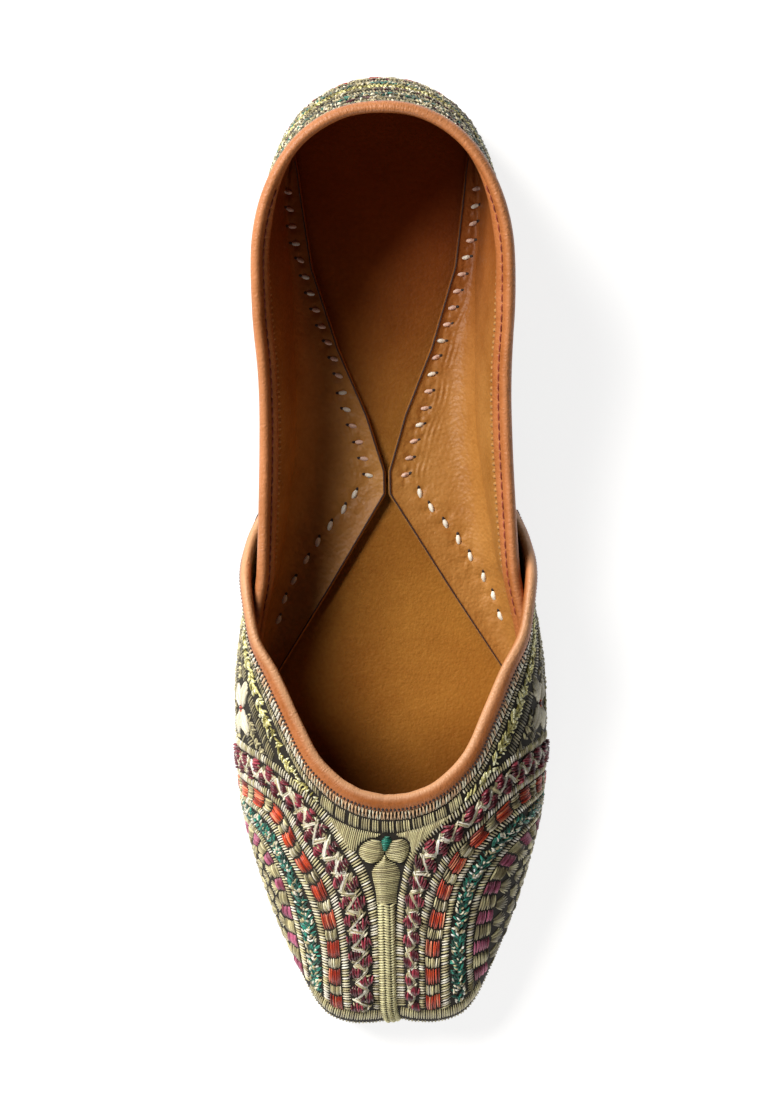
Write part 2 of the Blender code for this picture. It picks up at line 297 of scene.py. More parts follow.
ridgeWearAndHighlight = "E6B488"     # a ridge painted pale: partly rubbed wear, partly painted highlight where the roll's top catches the light
unshaded = (1.0, 1.0, 1.0)


def leatherFinish(name, deep, pale, roughness, grain, bump, mottle=14.0, wrinkles=None, paintedShade=None,
                  shine=0.32, crest=None):
    # dyed leather: fine pebbled grain (mm), slow changes of tone, a soft sheen where it is rubbed;
    # wrinkles counts the short folds along and across a strip that is pulled round a curve;
    # the painted shade list gives mm from the toe and what the colour is multiplied by there: painted shade,
    # darker where the toe and heel lie in shadow;
    # crest is where across the strip its ridge is painted pale, and how much: a painted highlight along the
    # roll's lit top, partly rubbed wear
    material, tree, shader = newFinish(name)
    coordinates = node(tree, "ShaderNodeTexCoord")
    where = coordinates.outputs["Object"]
    tone = node(tree, "ShaderNodeTexNoise", {"Scale": perMetre(mottle), "Detail": 5.0, "Roughness": 0.6},
                {"Vector": where})
    fleck = node(tree, "ShaderNodeTexNoise", {"Scale": perMetre(1.1), "Detail": 3.0}, {"Vector": where})
    both = node(tree, "ShaderNodeMath", {1: 0.35}, {0: fleck.outputs["Fac"], 2: tone.outputs["Fac"]},
                operation="MULTIPLY_ADD")
    ramp = node(tree, "ShaderNodeValToRGB", None, {"Fac": both.outputs[0]})
    setStops(ramp, [(0.42, srgb(deep)), (0.92, srgb(pale))])
    colour = ramp.outputs["Color"]
    # painted shade: the colour is multiplied darker towards the listed places along the shoe, where the toe
    # and heel lie in shadow
    if paintedShade:
        along = node(tree, "ShaderNodeSeparateXYZ", None, {0: where})
        reach = shoe["length"] / 2 * mm
        share = node(tree, "ShaderNodeMapRange", {"From Min": -reach, "From Max": reach},
                     {"Value": along.outputs["Y"]})
        shadeRamp = node(tree, "ShaderNodeValToRGB", None, {"Fac": share.outputs["Result"]})
        shadeRamp.color_ramp.interpolation = "EASE"
        setStops(shadeRamp, [(place / shoe["length"], shade) for place, shade in paintedShade])
        colour = node(tree, "ShaderNodeVectorMath", None, {0: colour, 1: shadeRamp.outputs["Color"]},
                      operation="MULTIPLY").outputs["Vector"]
    # painted highlight, partly rubbed wear: the strip is painted paler along its ridge, the top of the roll
    # that faces the light
    if crest:
        strip = node(tree, "ShaderNodeSeparateXYZ", None, {0: coordinates.outputs["UV"]})
        ridge, amount = crest
        fromRidge = node(tree, "ShaderNodeMath", {1: ridge}, {0: strip.outputs["Y"]}, operation="SUBTRACT")
        aside = node(tree, "ShaderNodeMath", None, {0: fromRidge.outputs[0]}, operation="ABSOLUTE")
        rubbedAndLitRidge = node(tree, "ShaderNodeMapRange", {"From Min": 0.18, "From Max": 0.02, "To Max": amount},
                      {"Value": aside.outputs[0]}, interpolation_type="SMOOTHSTEP")
        colour = node(tree, "ShaderNodeMix", {7: (*srgb(ridgeWearAndHighlight), 1)},
                      {0: rubbedAndLitRidge.outputs["Result"], 6: colour}, data_type="RGBA").outputs[2]
    pebble = node(tree, "ShaderNodeTexVoronoi", {"Scale": perMetre(grain), "Randomness": 1.0},
                  {"Vector": where}, feature="SMOOTH_F1")
    crease = node(tree, "ShaderNodeTexNoise", {"Scale": perMetre(grain * 2.2), "Detail": 6.0},
                  {"Vector": where})
    height = node(tree, "ShaderNodeMath", {1: 0.7}, {0: pebble.outputs["Distance"], 2: crease.outputs["Fac"]},
                  operation="MULTIPLY_ADD")
    if wrinkles:
        across = node(tree, "ShaderNodeMapping", {"Scale": (*wrinkles, 1.0)},
                      {"Vector": coordinates.outputs["UV"]})
        folds = node(tree, "ShaderNodeTexNoise", {"Scale": 1.0, "Detail": 3.0, "Distortion": 0.6},
                     {"Vector": across.outputs["Vector"]})
        height = node(tree, "ShaderNodeMath", {1: 1.6}, {0: folds.outputs["Fac"], 2: height.outputs[0]},
                      operation="MULTIPLY_ADD")
    relief = node(tree, "ShaderNodeBump", {"Strength": bump, "Distance": 0.3 * mm},
                  {"Height": height.outputs[0]})
    gloss = node(tree, "ShaderNodeMapRange", {"To Min": roughness - 0.08, "To Max": roughness + 0.1},
                 {"Value": crease.outputs["Fac"]})
    plug(tree, shader, {"Specular IOR Level": shine},
         {"Base Color": colour, "Normal": relief.outputs["Normal"], "Roughness": gloss.outputs["Result"]})
    return material


def threadFinish(name, roughness, sheen, metallic=0.0):
    # dyed thread: each stitch keeps its own colour, with small soft changes of tone
    material, tree, shader = newFinish(name)
    dye = node(tree, "ShaderNodeAttribute", attribute_name="stitchColour")
    where = node(tree, "ShaderNodeTexCoord").outputs["Object"]
    streak = node(tree, "ShaderNodeTexNoise", {"Scale": perMetre(0.22), "Detail": 2.0}, {"Vector": where})
    reach = {"From Min": 0.3, "From Max": 0.7, "To Min": 0.72, "To Max": 1.12}
    shade = node(tree, "ShaderNodeMapRange", reach, {"Value": streak.outputs["Fac"]})
    colour = node(tree, "ShaderNodeVectorMath", None, {0: dye.outputs["Color"], 1: shade.outputs["Result"]},
                  operation="MULTIPLY")
    relief = node(tree, "ShaderNodeBump", {"Strength": 0.35, "Distance": 0.08 * mm},
                  {"Height": streak.outputs["Fac"]})
    plug(tree, shader, {"Roughness": roughness, "Metallic": metallic, "Sheen Weight": sheen},
         {"Base Color": colour.outputs["Vector"], "Normal": relief.outputs["Normal"]})
    return material


def clothFinish(name, deep, pale, pitch):
    # closely woven cotton ground: warp and weft show as tiny raised squares between the stitches
    material, tree, shader = newFinish(name)
    where = node(tree, "ShaderNodeTexCoord").outputs["Object"]
    wave = {"Scale": perMetre(pitch) / 2.0, "Distortion": 1.0}
    warp, weft = (node(tree, "ShaderNodeTexWave", wave, {"Vector": where}, bands_direction=axis)
                  for axis in "XY")
    weave = node(tree, "ShaderNodeMath", None, {0: warp.outputs["Fac"], 1: weft.outputs["Fac"]},
                 operation="MULTIPLY")
    ramp = node(tree, "ShaderNodeValToRGB", None, {"Fac": weave.outputs[0]})
    setStops(ramp, [(0.0, srgb(deep)), (1.0, srgb(pale))])
    relief = node(tree, "ShaderNodeBump", {"Strength": 0.5, "Distance": 0.1 * mm},
                  {"Height": weave.outputs[0]})
    plug(tree, shader, {"Roughness": 0.85},
         {"Base Color": ramp.outputs["Color"], "Normal": relief.outputs["Normal"]})
    return material


kid = {"deep": "A05C2A", "pale": "C07848", "roughness": 0.4, "grain": 0.5, "bump": 0.5,
       "wrinkles": (420.0, 7.0)}
soleLeather = leatherFinish("oak tanned sole leather", "2E1D12", "4A3120", roughness=0.55, grain=0.9,
                            bump=0.3)
# painted shade: the insole darker towards the toe under the vamp and towards the heel under the heel counter,
# the lining darker towards the heel
insoleLeather = leatherFinish(
    "dyed goatskin insole", "8A5218", "AC742E", roughness=0.46, grain=0.6, bump=0.45, mottle=30.0, shine=0.12,
    paintedShade=[(62.0, (0.5, 0.42, 0.3)), (88.0, unshaded), (146.0, unshaded), (227.0, (0.58, 0.28, 0.2))])
liningLeather = leatherFinish(
    "dyed goatskin lining", "9A6428", "B88242", roughness=0.45, grain=0.85, bump=0.7, shine=0.24,
    paintedShade=[(150.0, unshaded), (222.0, (0.7, 0.45, 0.38))])
# both bindings are painted paler along the top of their roll: a painted highlight, partly rubbed wear
quarterLeather = leatherFinish("rolled kid leather binding", **kid, crest=(0.33, 0.14))
vampLeather = leatherFinish("rolled kid leather throat binding", **kid, crest=(0.53, 0.6))
groundCloth = clothFinish("cotton ground cloth", "16120C", "3A3124", pitch=0.45)
rayonThread = threadFinish("rayon embroidery thread", roughness=0.36, sheen=0.2)
zariThread = threadFinish("gold zari thread", roughness=0.3, sheen=0.1, metallic=0.3)
sewingThread = threadFinish("waxed cotton sewing thread", roughness=0.6, sheen=0.15)
print("materials ready:", len(bpy.data.materials))


# Making pieces

def sheetOf(name, columns, rows, place):
    # a grid whose corners move to place(share of columns, share of rows)
    bpy.ops.object.select_all(action="DESELECT")
    bpy.ops.mesh.primitive_grid_add(x_subdivisions=columns, y_subdivisions=rows, size=1.0)
    piece = bpy.context.object
    piece.name = name
    piece.data.name = name
    corners = np.empty(len(piece.data.vertices) * 3)
    piece.data.vertices.foreach_get("co", corners)
    corners = corners.reshape(-1, 3) + 0.5
    piece.data.vertices.foreach_set("co", place(corners[:, 0], corners[:, 1]).ravel())
    piece.data.update()
    return piece


def takeUp(piece):
    # makes it the one selected and active object
    bpy.ops.object.select_all(action="DESELECT")
    piece.select_set(True)
    bpy.context.view_layer.objects.active = piece


def closeSeams(piece):
    takeUp(piece)
    bpy.ops.object.mode_set(mode="EDIT")
    bpy.ops.mesh.select_all(action="SELECT")
    bpy.ops.mesh.remove_doubles(threshold=0.005 * mm)
    bpy.ops.object.mode_set(mode="OBJECT")


def thicken(piece, thickness, offset):
    takeUp(piece)
    modifier = piece.modifiers.new("solidify", "SOLIDIFY")
    modifier.thickness = thickness * mm
    modifier.offset = offset
    bpy.ops.object.modifier_apply(modifier=modifier.name)


def settle(piece, material, slotName, *nodes):
    takeUp(piece)
    bpy.ops.object.shade_smooth_by_angle(angle=math.radians(50))
    piece.data.materials.clear()
    piece.data.materials.append(material)
    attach(piece, "root")
    if nodes:
        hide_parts(*nodes)


# Outsole: a flat leather sole with a burnished, slightly rounded edge
outsole = {
    "columns": 300,
    # wayOut: share of the way from the middle to the edge; proud: mm past the margin;
    # up: share of the thickness
    "profile": [
        (0.0, 0.0, 0.0), (0.6, 0.0, 0.0), (1.0, -0.9, 0.0), (1.0, -0.3, 0.04), (1.0, 0.0, 0.2),
        (1.0, 0.1, 0.5), (1.0, 0.0, 0.8), (1.0, -0.3, 0.96), (1.0, -0.9, 1.0), (0.6, 0.0, 1.0),
        (0.0, 0.0, 1.0),
    ],
    "middleMargin": 20.0,
}


def footprint(name, spec, margin, bottom, thickness):
    spans = len(outlineTable) - 5
    rows = np.array(spec["profile"])

    def place(column, row):
        at = 2 + column * spans
        wayOut, proud, up = np.moveaxis(rows[np.rint(row * (len(rows) - 1)).astype(int)], -1, 0)
        edge = smoothRows(outlineTable, at)
        outward = levelOutward(outlineTable, at)
        half = edge[:, 1] + outward[:, 0] * (margin + proud)
        along = edge[:, 0] + outward[:, 1] * (margin + proud)
        middle = np.clip(along, spec["middleMargin"], shoe["length"] - spec["middleMargin"])
        here = middle + (along - middle) * wayOut
        return inMetres(half * wayOut, here, soleTop(here) + bottom + up * thickness)

    piece = sheetOf(name, spec["columns"], len(rows) - 1, place)
    closeSeams(piece)
    return piece


outsolePiece = footprint("outsole_leather", outsole, shoe["soleMargin"], -shoe["soleThickness"],
                         shoe["soleThickness"])
settle(outsolePiece, soleLeather, "sole_leather", "outsole")

# Insole: one soft board covered in goatskin
insole = {
    "columns": 300,
    "profile": [
        (0.0, 0.0, 0.0), (1.0, 0.0, 0.0), (1.0, 0.0, 0.7), (1.0, -0.4, 1.0), (0.8, 0.0, 1.0),
        (0.6, 0.0, 1.0), (0.4, 0.0, 1.0), (0.2, 0.0, 1.0), (0.0, 0.0, 1.0),
    ],
    "middleMargin": 20.0,
}
insolePiece = footprint("insole_leather", insole, -shoe["gap"], shoe["gap"], shoe["insoleThickness"])
settle(insolePiece, insoleLeather, "insole_leather", "insole")
print("sole and insole made")

# Upper: an embroidered cloth shell outside and a leather lining inside, for the vamp and for the quarters
upper = {
    "vampGrid": (264, 36),
    "quarterGrid": (240, 30),
    "liningThickness": 0.75,
    "liningReach": 0.65,     # rows of the rib table that the quarters' lining goes on under the vamp
    "clothStart": 0.85,
    "threadRoom": 0.15,      # the cloth stops this far short of the wall's face, for the stitches
}


def wallSheet(name, face, last, grid, start, thickness, reach=0.0):
    piece = sheetOf(name, *grid, lambda column, row: face(
        column * (last + 2 * reach) - reach, row, np.full_like(row, start)))
    thicken(piece, thickness, 1.0)
    return piece


clothStart = upper["clothStart"]
liningDepth = upper["liningThickness"]
vampOut = shoe["vampWall"] - upper["threadRoom"]
quarterOut = shoe["quarterWall"] - upper["threadRoom"]
vampCloth = wallSheet("vamp_cloth", vampFace, vampLast, upper["vampGrid"], clothStart, vampOut - clothStart)
settle(vampCloth, groundCloth, "embroidered_cloth", "upper")
vampLining = wallSheet("vamp_lining", vampFace, vampLast, upper["vampGrid"], 0.0, liningDepth)
settle(vampLining, liningLeather, "lining_leather")
quarterCloth = wallSheet("quarter_cloth", quarterFace, quarterLast, upper["quarterGrid"], clothStart,
                         quarterOut - clothStart)
settle(quarterCloth, groundCloth, "embroidered_cloth")
quarterLining = wallSheet("quarter_lining", quarterLiningFace, quarterLast, upper["quarterGrid"], 0.0,
                          liningDepth, upper["liningReach"])
settle(quarterLining, liningLeather, "lining_leather")
print("upper made")


# Bindings: a strip of kid leather folded over the topline, rolled full on top
quarterBinding = {
    "ends": 0.05,
    "straightFrom": 0.05,    # rows of the rib table from each end: from there on the strip runs straight
    "sink": 0.0,
    "columns": 440,
    "rows": 32,
    "wall": shoe["quarterWall"],
    "thickness": 0.6,
    "standOff": 1.7,         # the front ends bend out (mm) and pass behind the vamp's wings
    "standOffRows": (0.0, 1.3),
    "tuckRows": (6.0, 8.0),  # round the heel the inner hem tucks in under the roll
    # out: mm from the inner face; over: mm past the wall's top edge
    "profile": [
        (1.8, -1.2), (2.25, -0.2), (2.4, 1.0), (1.95, 2.4), (0.8, 3.1), (-0.2, 2.6), (-0.65, 1.5),
        (-0.85, 0.6), (-1.4, 0.3), (-2.0, -0.6), (-2.25, -2.0), (-2.0, -3.8),
    ],
}
vampBinding = {
    "ends": -0.36,           # it runs on past the last rib, down the wing's end to the sole's edge
    "straightFrom": 0.2,
    "sink": 0.45,            # how far (mm) that end draws in towards the seam
    "columns": 440,
    "rows": 32,
    "wall": shoe["vampWall"],
    "thickness": 0.6,
    "standOff": shoe["wingSpread"],
    "standOffRows": shoe["wingRows"],
    "tuckRows": (20.0, 21.0),    # never reached, so its hem stays out all round
    "profile": [
        (2.0, -1.4), (2.3, -1.1), (2.4, -0.4), (2.5, 0.8), (2.1, 2.2), (1.0, 3.0), (-0.15, 2.4),
        (-0.55, 1.0), (-0.5, -1.0), (-0.3, -2.6),
    ],
}
bindings = {
    "sinkRows": (-0.4, 0.05),    # rows from the last rib, over which a strip that runs on sinks in
    "hemFrom": 0.65,             # mm in from the inner face, where the roll ends and the hem starts
    "unevenSpots": 40,           # a hand-rolled edge is never quite even
    "unevenShare": 0.025,
}


def bindingFrame(inner, last, spec, at):
    # the topline's points, with the directions out of the wall and over its edge
    whole = np.ones_like(at)
    held = np.clip(at, spec["straightFrom"], last - spec["straightFrom"])
    run = (inner(held + nudge, whole) - inner(held - nudge, whole)) / (2 * nudge)
    top = inner(held, whole) + run * (at - held)[..., None]
    out = faceNormal(inner, held, whole)
    over = np.cross(out, unit(run))
    fromEnd = np.minimum(at, last - at)
    past = 1 - smoothStep(fromEnd, *bindings["sinkRows"])
    lean = spec["standOff"] * (1 - smoothStep(fromEnd, *spec["standOffRows"]))
    spread = lean * (1 - past) - spec["sink"] * past
    return top + out * (spread * mm)[..., None], out, over


def bindingStrip(name, inner, last, spec):
    profile = np.array(spec["profile"])
    spots = bindings["unevenSpots"]
    uneven = chance.normal(0, 1, spots)

    def place(column, row):
        at = spec["ends"] + (last - 2 * spec["ends"]) * column
        top, out, over = bindingFrame(inner, last, spec, at)
        across = smoothRows(profile, row * (len(profile) - 1))
        hand = 1 + bindings["unevenShare"] * np.interp(column * (spots - 1), np.arange(spots), uneven)
        middle = spec["wall"] / 2
        hem = np.minimum(across[:, 0] + bindings["hemFrom"], 0.0)
        tucked = hem * smoothStep(np.minimum(at, last - at), *spec["tuckRows"])
        reachOut = middle + (across[:, 0] - tucked - middle) * hand
        return top + (out * reachOut[:, None] + over * (across[:, 1] * hand)[:, None]) * mm

    piece = sheetOf(name, spec["columns"], spec["rows"], place)
    thicken(piece, spec["thickness"], -1.0)
    return piece


settle(bindingStrip("quarter_binding_roll", quarterInner, quarterLast, quarterBinding), quarterLeather,
       "binding_leather", "quarter_binding")
settle(bindingStrip("vamp_binding_roll", vampInner, vampLast, vampBinding), vampLeather,
       "binding_leather", "vamp_binding")
print("bindings made")

# Lining flaps: each quarter's lining turned in over the insole and curled up its wall
flaps = {
    "edge": [(92.0, 32.5), (117.0, 16.6), (143.0, 0.7), (149.0, 0.7), (164.0, 5.2), (182.0, 12.6),
             (204.0, 19.4), (222.0, 21.8), (231.0, 22.9), (238.0, 24.2)],    # along, half: on the insole
    "thickness": 1.0,
    "lift": 1.6,                        # how far the free edge stands off the insole
    "liftRun": 4.0,
    "curl": 9.0,                        # radius of the bend up the wall
    "curlTurn": 1.52,                   # how far (radians) it bends
    "intoWall": 0.25,
    "noWallHalf": 30.0,                 # stands in where a ray meets no wall
    "dimple": (0.6, 1.2),               # depth and radius where thread pulls the leather down
    "pucker": (0.2, 1.8),               # height of the short folds round a stitch, and where they are full
    "longFold": (0.13, 3.6, 2.4),       # height, mm beside the rear row, width of the folds that run there
    "longFoldRun": ((143.0, 150.0), (178.0, 206.0)),    # along: where they grow and where they die away
    "waveSpots": 12,
    "waveHeight": 0.12,
    "columns": 100,
    "rows": 270,
    "frontStitches": [(109.5, 30.0), (115.0, 28.3), (120.0, 25.7), (125.6, 22.2), (130.3, 19.0),
                      (134.6, 15.6), (139.0, 11.8), (143.0, 8.8)],           # along, half of each stitch
    "rearStitches": [(148.0, 4.9), (157.0, 7.4), (166.0, 10.6), (178.5, 13.4), (191.0, 17.8), (205.0, 22.0),
                     (214.0, 24.2), (226.0, 25.6)],
    "rearSpacing": 4.7,
}


def lookUpMesh(points):
    # a search tree over a grid of points, shaped (columns, rows, 3)
    columns, rows = points.shape[:2]
    index = np.arange(columns * rows).reshape(columns, rows)
    quads = np.stack([index[:-1, :-1], index[1:, :-1], index[1:, 1:], index[:-1, 1:]], -1).reshape(-1, 4)
    return BVHTree.FromPolygons(points.reshape(-1, 3).tolist(), quads.tolist())


def faceGrid(face, first, last, columns, rows):
    at, share = np.meshgrid(np.linspace(first, last, columns + 1), np.linspace(0, 1, rows + 1), indexing="ij")
    return face(at, share, np.zeros_like(at))


liningPast = upper["liningReach"]
innerWalls = [
    lookUpMesh(faceGrid(quarterLiningFace, -liningPast, quarterLast + liningPast, 200, 40)),
    lookUpMesh(faceGrid(vampFace, 0.0, vampLast, 220, 40)),
]


def wallHalf(along, height):
    start = Vector(inMetres(0.0, along, height))
    reached = [tree.ray_cast(start, Vector((1, 0, 0)))[0] for tree in innerWalls]
    reached = [hit.x / mm for hit in reached if hit is not None]
    return min(reached) if reached else flaps["noWallHalf"]


def runLength(points):
    # the length of a line of points from its first one to each
    return np.concatenate([[0], np.cumsum(np.linalg.norm(np.diff(points, axis=0), axis=1))])


def spacedAlong(points, spacing):
    points = np.asarray(points, float)
    fine = smoothRows(points, np.linspace(0, len(points) - 1, 400))
    run = runLength(fine)
    wanted = np.arange(0, run[-1], spacing)
    return np.stack([np.interp(wanted, run, fine[:, 0]), np.interp(wanted, run, fine[:, 1])], -1)


rearSpots = spacedAlong(flaps["rearStitches"], flaps["rearSpacing"])
sewnSpots = np.concatenate([np.array(flaps["frontStitches"]), rearSpots])
flapAlong = np.linspace(flaps["edge"][0][0], flaps["edge"][-1][0], flaps["rows"] + 1)
flapBed = soleTop(flapAlong) + 2 * shoe["gap"] + shoe["insoleThickness"] + flaps["thickness"]
flapInner = np.interp(flapAlong, *np.array(flaps["edge"]).T)
flapOuter = np.array([wallHalf(a, z + flaps["curl"]) for a, z in zip(flapAlong, flapBed)]) + flaps["intoWall"]
rearRow = np.array(flaps["rearStitches"])


def flapPiece(name, side, slack):
    waveSpots = flaps["waveSpots"]
    wander = chance.normal(0, 1, (3, waveSpots))
    foldCount = chance.integers(3, 7, len(sewnSpots))
    foldTurn = chance.uniform(0, 2 * math.pi, len(sewnSpots))
    foldReach = chance.uniform(2.2, 3.6, len(sewnSpots))

    def place(column, row):
        along = flapAlong[0] + (flapAlong[-1] - flapAlong[0]) * row
        inner = np.interp(along, flapAlong, flapInner)
        outer = np.interp(along, flapAlong, flapOuter)
        bed = np.interp(along, flapAlong, flapBed)
        curl = np.clip(0.75 * (outer - inner), 1.0, flaps["curl"])
        flat = np.maximum(outer - curl - inner, 0.0)
        went = column * (flat + curl * flaps["curlTurn"])
        turn = np.maximum(went - flat, 0.0) / curl
        half = inner + np.minimum(went, flat) + curl * np.sin(turn)
        level = 1 - smoothStep(turn, 0.2, 0.7)
        height = bed + curl * (1 - np.cos(turn))
        height = height + flaps["lift"] * np.exp(-went / flaps["liftRun"]) * level
        # thread pulls a dimple at each stitch, and the leather puckers in short folds towards it
        alongGap = along[:, None] - sewnSpots[None, :, 0]
        halfGap = half[:, None] - sewnSpots[None, :, 1]
        gap = np.hypot(alongGap, halfGap)
        depth, radius = flaps["dimple"]
        height = height - depth * np.exp(-(gap / radius) ** 2).sum(axis=1)
        rise, full = flaps["pucker"]
        angle = np.arctan2(alongGap, halfGap)
        folds = np.cos(foldCount * angle + foldTurn) * (gap / full) * np.exp(-(gap / foldReach) ** 2)
        height = height + rise * slack * folds.sum(axis=1) * level * smoothStep(went, 0.4, 2.5)
        # long folds that run beside the rear row, on its outer side
        rise, away, wide = flaps["longFold"]
        grows, dies = flaps["longFoldRun"]
        aside = half - np.interp(along, *rearRow.T)
        near = np.exp(-((aside - away) / wide) ** 2)
        near = near * smoothStep(along, *grows) * (1 - smoothStep(along, *dies))
        drift = 1.6 * np.sin(along * 0.21) + 0.9 * np.sin(along * 0.47 + 1.0)
        ripple = rise * slack * near * np.sin(aside * 4.2 + drift)
        height = height + ripple * (0.6 + 0.4 * np.sin(along * 0.6))
        # slow waves over the whole flap
        spots = np.arange(waveSpots)
        slow = sum(np.interp(row * spots[-1], spots, swing) * np.sin((k + 1) * 1.7 * column)
                   for k, swing in enumerate(wander))
        height = height + flaps["waveHeight"] * slow * smoothStep(column, 0.02, 0.2) * level
        return inMetres(side * half, along, height)

    piece = sheetOf(name, flaps["columns"], flaps["rows"], place)
    thicken(piece, flaps["thickness"], -side)
    return piece


flapRight = flapPiece("lining_flap_right_leather", 1.0, 1.0)
flapLeft = flapPiece("lining_flap_left_leather", -1.0, 0.6)
settle(flapRight, liningLeather, "lining_leather", "lining_flap_right")
settle(flapLeft, liningLeather, "lining_leather", "lining_flap_left")
print("lining flaps made")


# Threads: every stitch is a small closed tube laid on the surface, and many are joined in one mesh

stitchForm = {
    "ring": [-15.0, 40.0, 90.0, 140.0, 195.0],    # degrees round the half tube
    "endShare": 0.6,             # how thick its ends are against its middle
    "arch": (0.35, 0.2),         # how far its middle rises and the whole sinks in, in heights
    "tip": (0.25, 0.3),          # how far its tips reach out, in widths, and down, in heights
}


def tubeMesh(name, bag, material):
    ring = np.radians(stitchForm["ring"])
    endShare = stitchForm["endShare"]
    archUp, sunk = stitchForm["arch"]
    tipOut, tipDown = stitchForm["tip"]
    corners, faces, colours = [], [], []
    start = 0
    for path, normal, width, height, colour in bag:
        count, rings = path.shape[:2]
        if count == 0:
            continue
        run = unit(np.gradient(path, axis=1))
        across = unit(np.cross(run, normal))
        share = np.linspace(0, 1, rings)
        taper = endShare + (1 - endShare) * np.sin(math.pi * share) ** 0.5
        arch = np.sin(math.pi * share) * archUp - sunk
        middle = path + normal * (height[:, None] * arch)[..., None]
        spread = across[:, :, None, :] * (np.cos(ring) * taper[:, None])[None, :, :, None]
        rise = normal[:, :, None, :] * (np.sin(ring) * taper[:, None])[None, :, :, None]
        body = middle[:, :, None, :] + spread * width[:, None, None, None] / 2
        body = body + rise * height[:, None, None, None]
        tips = np.stack([
            path[:, 0] - run[:, 0] * width[:, None] * tipOut - normal[:, 0] * height[:, None] * tipDown,
            path[:, -1] + run[:, -1] * width[:, None] * tipOut - normal[:, -1] * height[:, None] * tipDown,
        ], axis=1)
        each = rings * len(ring) + 2
        corners.append(np.concatenate([body.reshape(count, -1, 3), tips], axis=1).reshape(-1, 3))
        colours.append(np.repeat(colour, each, axis=0))
        pattern = []
        for r in range(rings - 1):
            for k in range(len(ring)):
                nextK = (k + 1) % len(ring)
                low, high = r * len(ring), (r + 1) * len(ring)
                pattern.append([low + k, low + nextK, high + nextK, high + k])
        for k in range(len(ring)):
            nextK = (k + 1) % len(ring)
            last = (rings - 1) * len(ring)
            pattern.append([each - 2, nextK, k, k])
            pattern.append([each - 1, last + k, last + nextK, last + nextK])
        firsts = start + np.arange(count)[:, None, None] * each
        faces.append((np.array(pattern)[None] + firsts).reshape(-1, 4))
        start += count * each
    corners = np.concatenate(corners)
    faces = np.concatenate(faces)
    plain = [list(dict.fromkeys(face)) for face in faces.tolist()]
    mesh = bpy.data.meshes.new(name)
    mesh.from_pydata(corners.tolist(), [], plain)
    dye = mesh.color_attributes.new("stitchColour", "FLOAT_COLOR", "POINT")
    rgba = np.concatenate([np.concatenate(colours), np.ones((len(corners), 1))], axis=1)
    dye.data.foreach_set("color", rgba.ravel())
    piece = bpy.data.objects.new(name, mesh)
    bpy.context.scene.collection.objects.link(piece)
    mesh.shade_smooth()
    mesh.materials.append(material)
    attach(piece, "root")
    print("  sewn:", name, len(plain), "faces")


def sewnOn(*pieces):
    # bags of rayon stitches on the cloth, each with its piece's name
    for name, bag in pieces:
        tubeMesh(name, bag, rayonThread)


threads = {
    "cream": "E8E0C4",
    "khaki": "B8AC82",
    "paleGold": "D4CB9A",
    "straw": "EAE3AE",
    "deepKhaki": "8C825E",
    "olive": "5E573C",
    "maroon": "7E2434",
    "plum": "541620",
    "claret": "9C3646",
    "orange": "DC522A",
    "vermilion": "B0341C",
    "apricot": "F0906A",
    "teal": "1B7562",
    "seaGreen": "2F9A84",
    "bottle": "0E4A3C",
    "brick": "8C2814",
    "pink": "BC6482",
    "rosewood": "8E3E54",
    "overcast": "DBB48A",
    "white": "F2ECDC",
    "rose": "EBC6B2",
    "rust": "8A3418",
    "zari": "E2DA92",
    "brightZari": "F4F0C4",
    "oldZari": "948A44",
    # painted shade in the needle holes
    "holeShade": "2A140A",
    # partly the flaps' dyed cut edge, partly painted shade along it
    "edgeDyeAndShade": "3C1C0C",
    "lining": "B98444",
}


def dyed(name, count, spread=0.1):
    return np.clip(np.array(srgb(threads[name]))[None] * (1 + chance.normal(0, spread, (count, 1))), 0, 1)


def mixed(names, count, spread=0.1):
    colours = np.stack([dyed(name, count, spread) for name in names])
    return colours[chance.integers(0, len(names), count), np.arange(count)]


# A field holds a wall's face as channels: point, normal, place on the flat pattern, mm from the foot,
# and row of the rib table
channelCount = 10
pointPart = slice(0, 3)
normalPart = slice(3, 6)
flatHalf, flatAlong, footClimb, ribRow = range(6, channelCount)


def wallField(face, inner, table, last, columns, rows, out):
    at, share = np.meshgrid(np.linspace(0, last, columns + 1), np.linspace(0, 1, rows + 1), indexing="ij")
    point = face(at, share, np.full_like(at, out))
    normal = faceNormal(inner, at, share)
    steps = np.diff(point[:, ::-1] / mm, axis=1)
    outward = levelOutward(table, at[:, :1])
    sideways = np.stack([-outward[..., 1], outward[..., 0]], -1)
    goesOut = (steps[..., :2] * outward).sum(-1)
    goesSide = (steps[..., :2] * sideways).sum(-1)
    moves = np.hypot(goesOut, steps[..., 2])[..., None] * outward + goesSide[..., None] * sideways
    topPlan = point[:, -1:, :2] / mm + np.array([0, shoe["length"] / 2])
    flat = np.concatenate([topPlan, topPlan + np.cumsum(moves, axis=1)], axis=1)[:, ::-1]
    climbs = np.linalg.norm(np.diff(point, axis=1), axis=-1) / mm
    fromFoot = np.concatenate([np.zeros((columns + 1, 1)), np.cumsum(climbs, axis=1)], axis=1)
    channels = np.concatenate([point, normal, flat, fromFoot[..., None], at[..., None]], axis=-1)
    return {"channels": channels, "last": last, "columns": columns, "fromFoot": fromFoot}


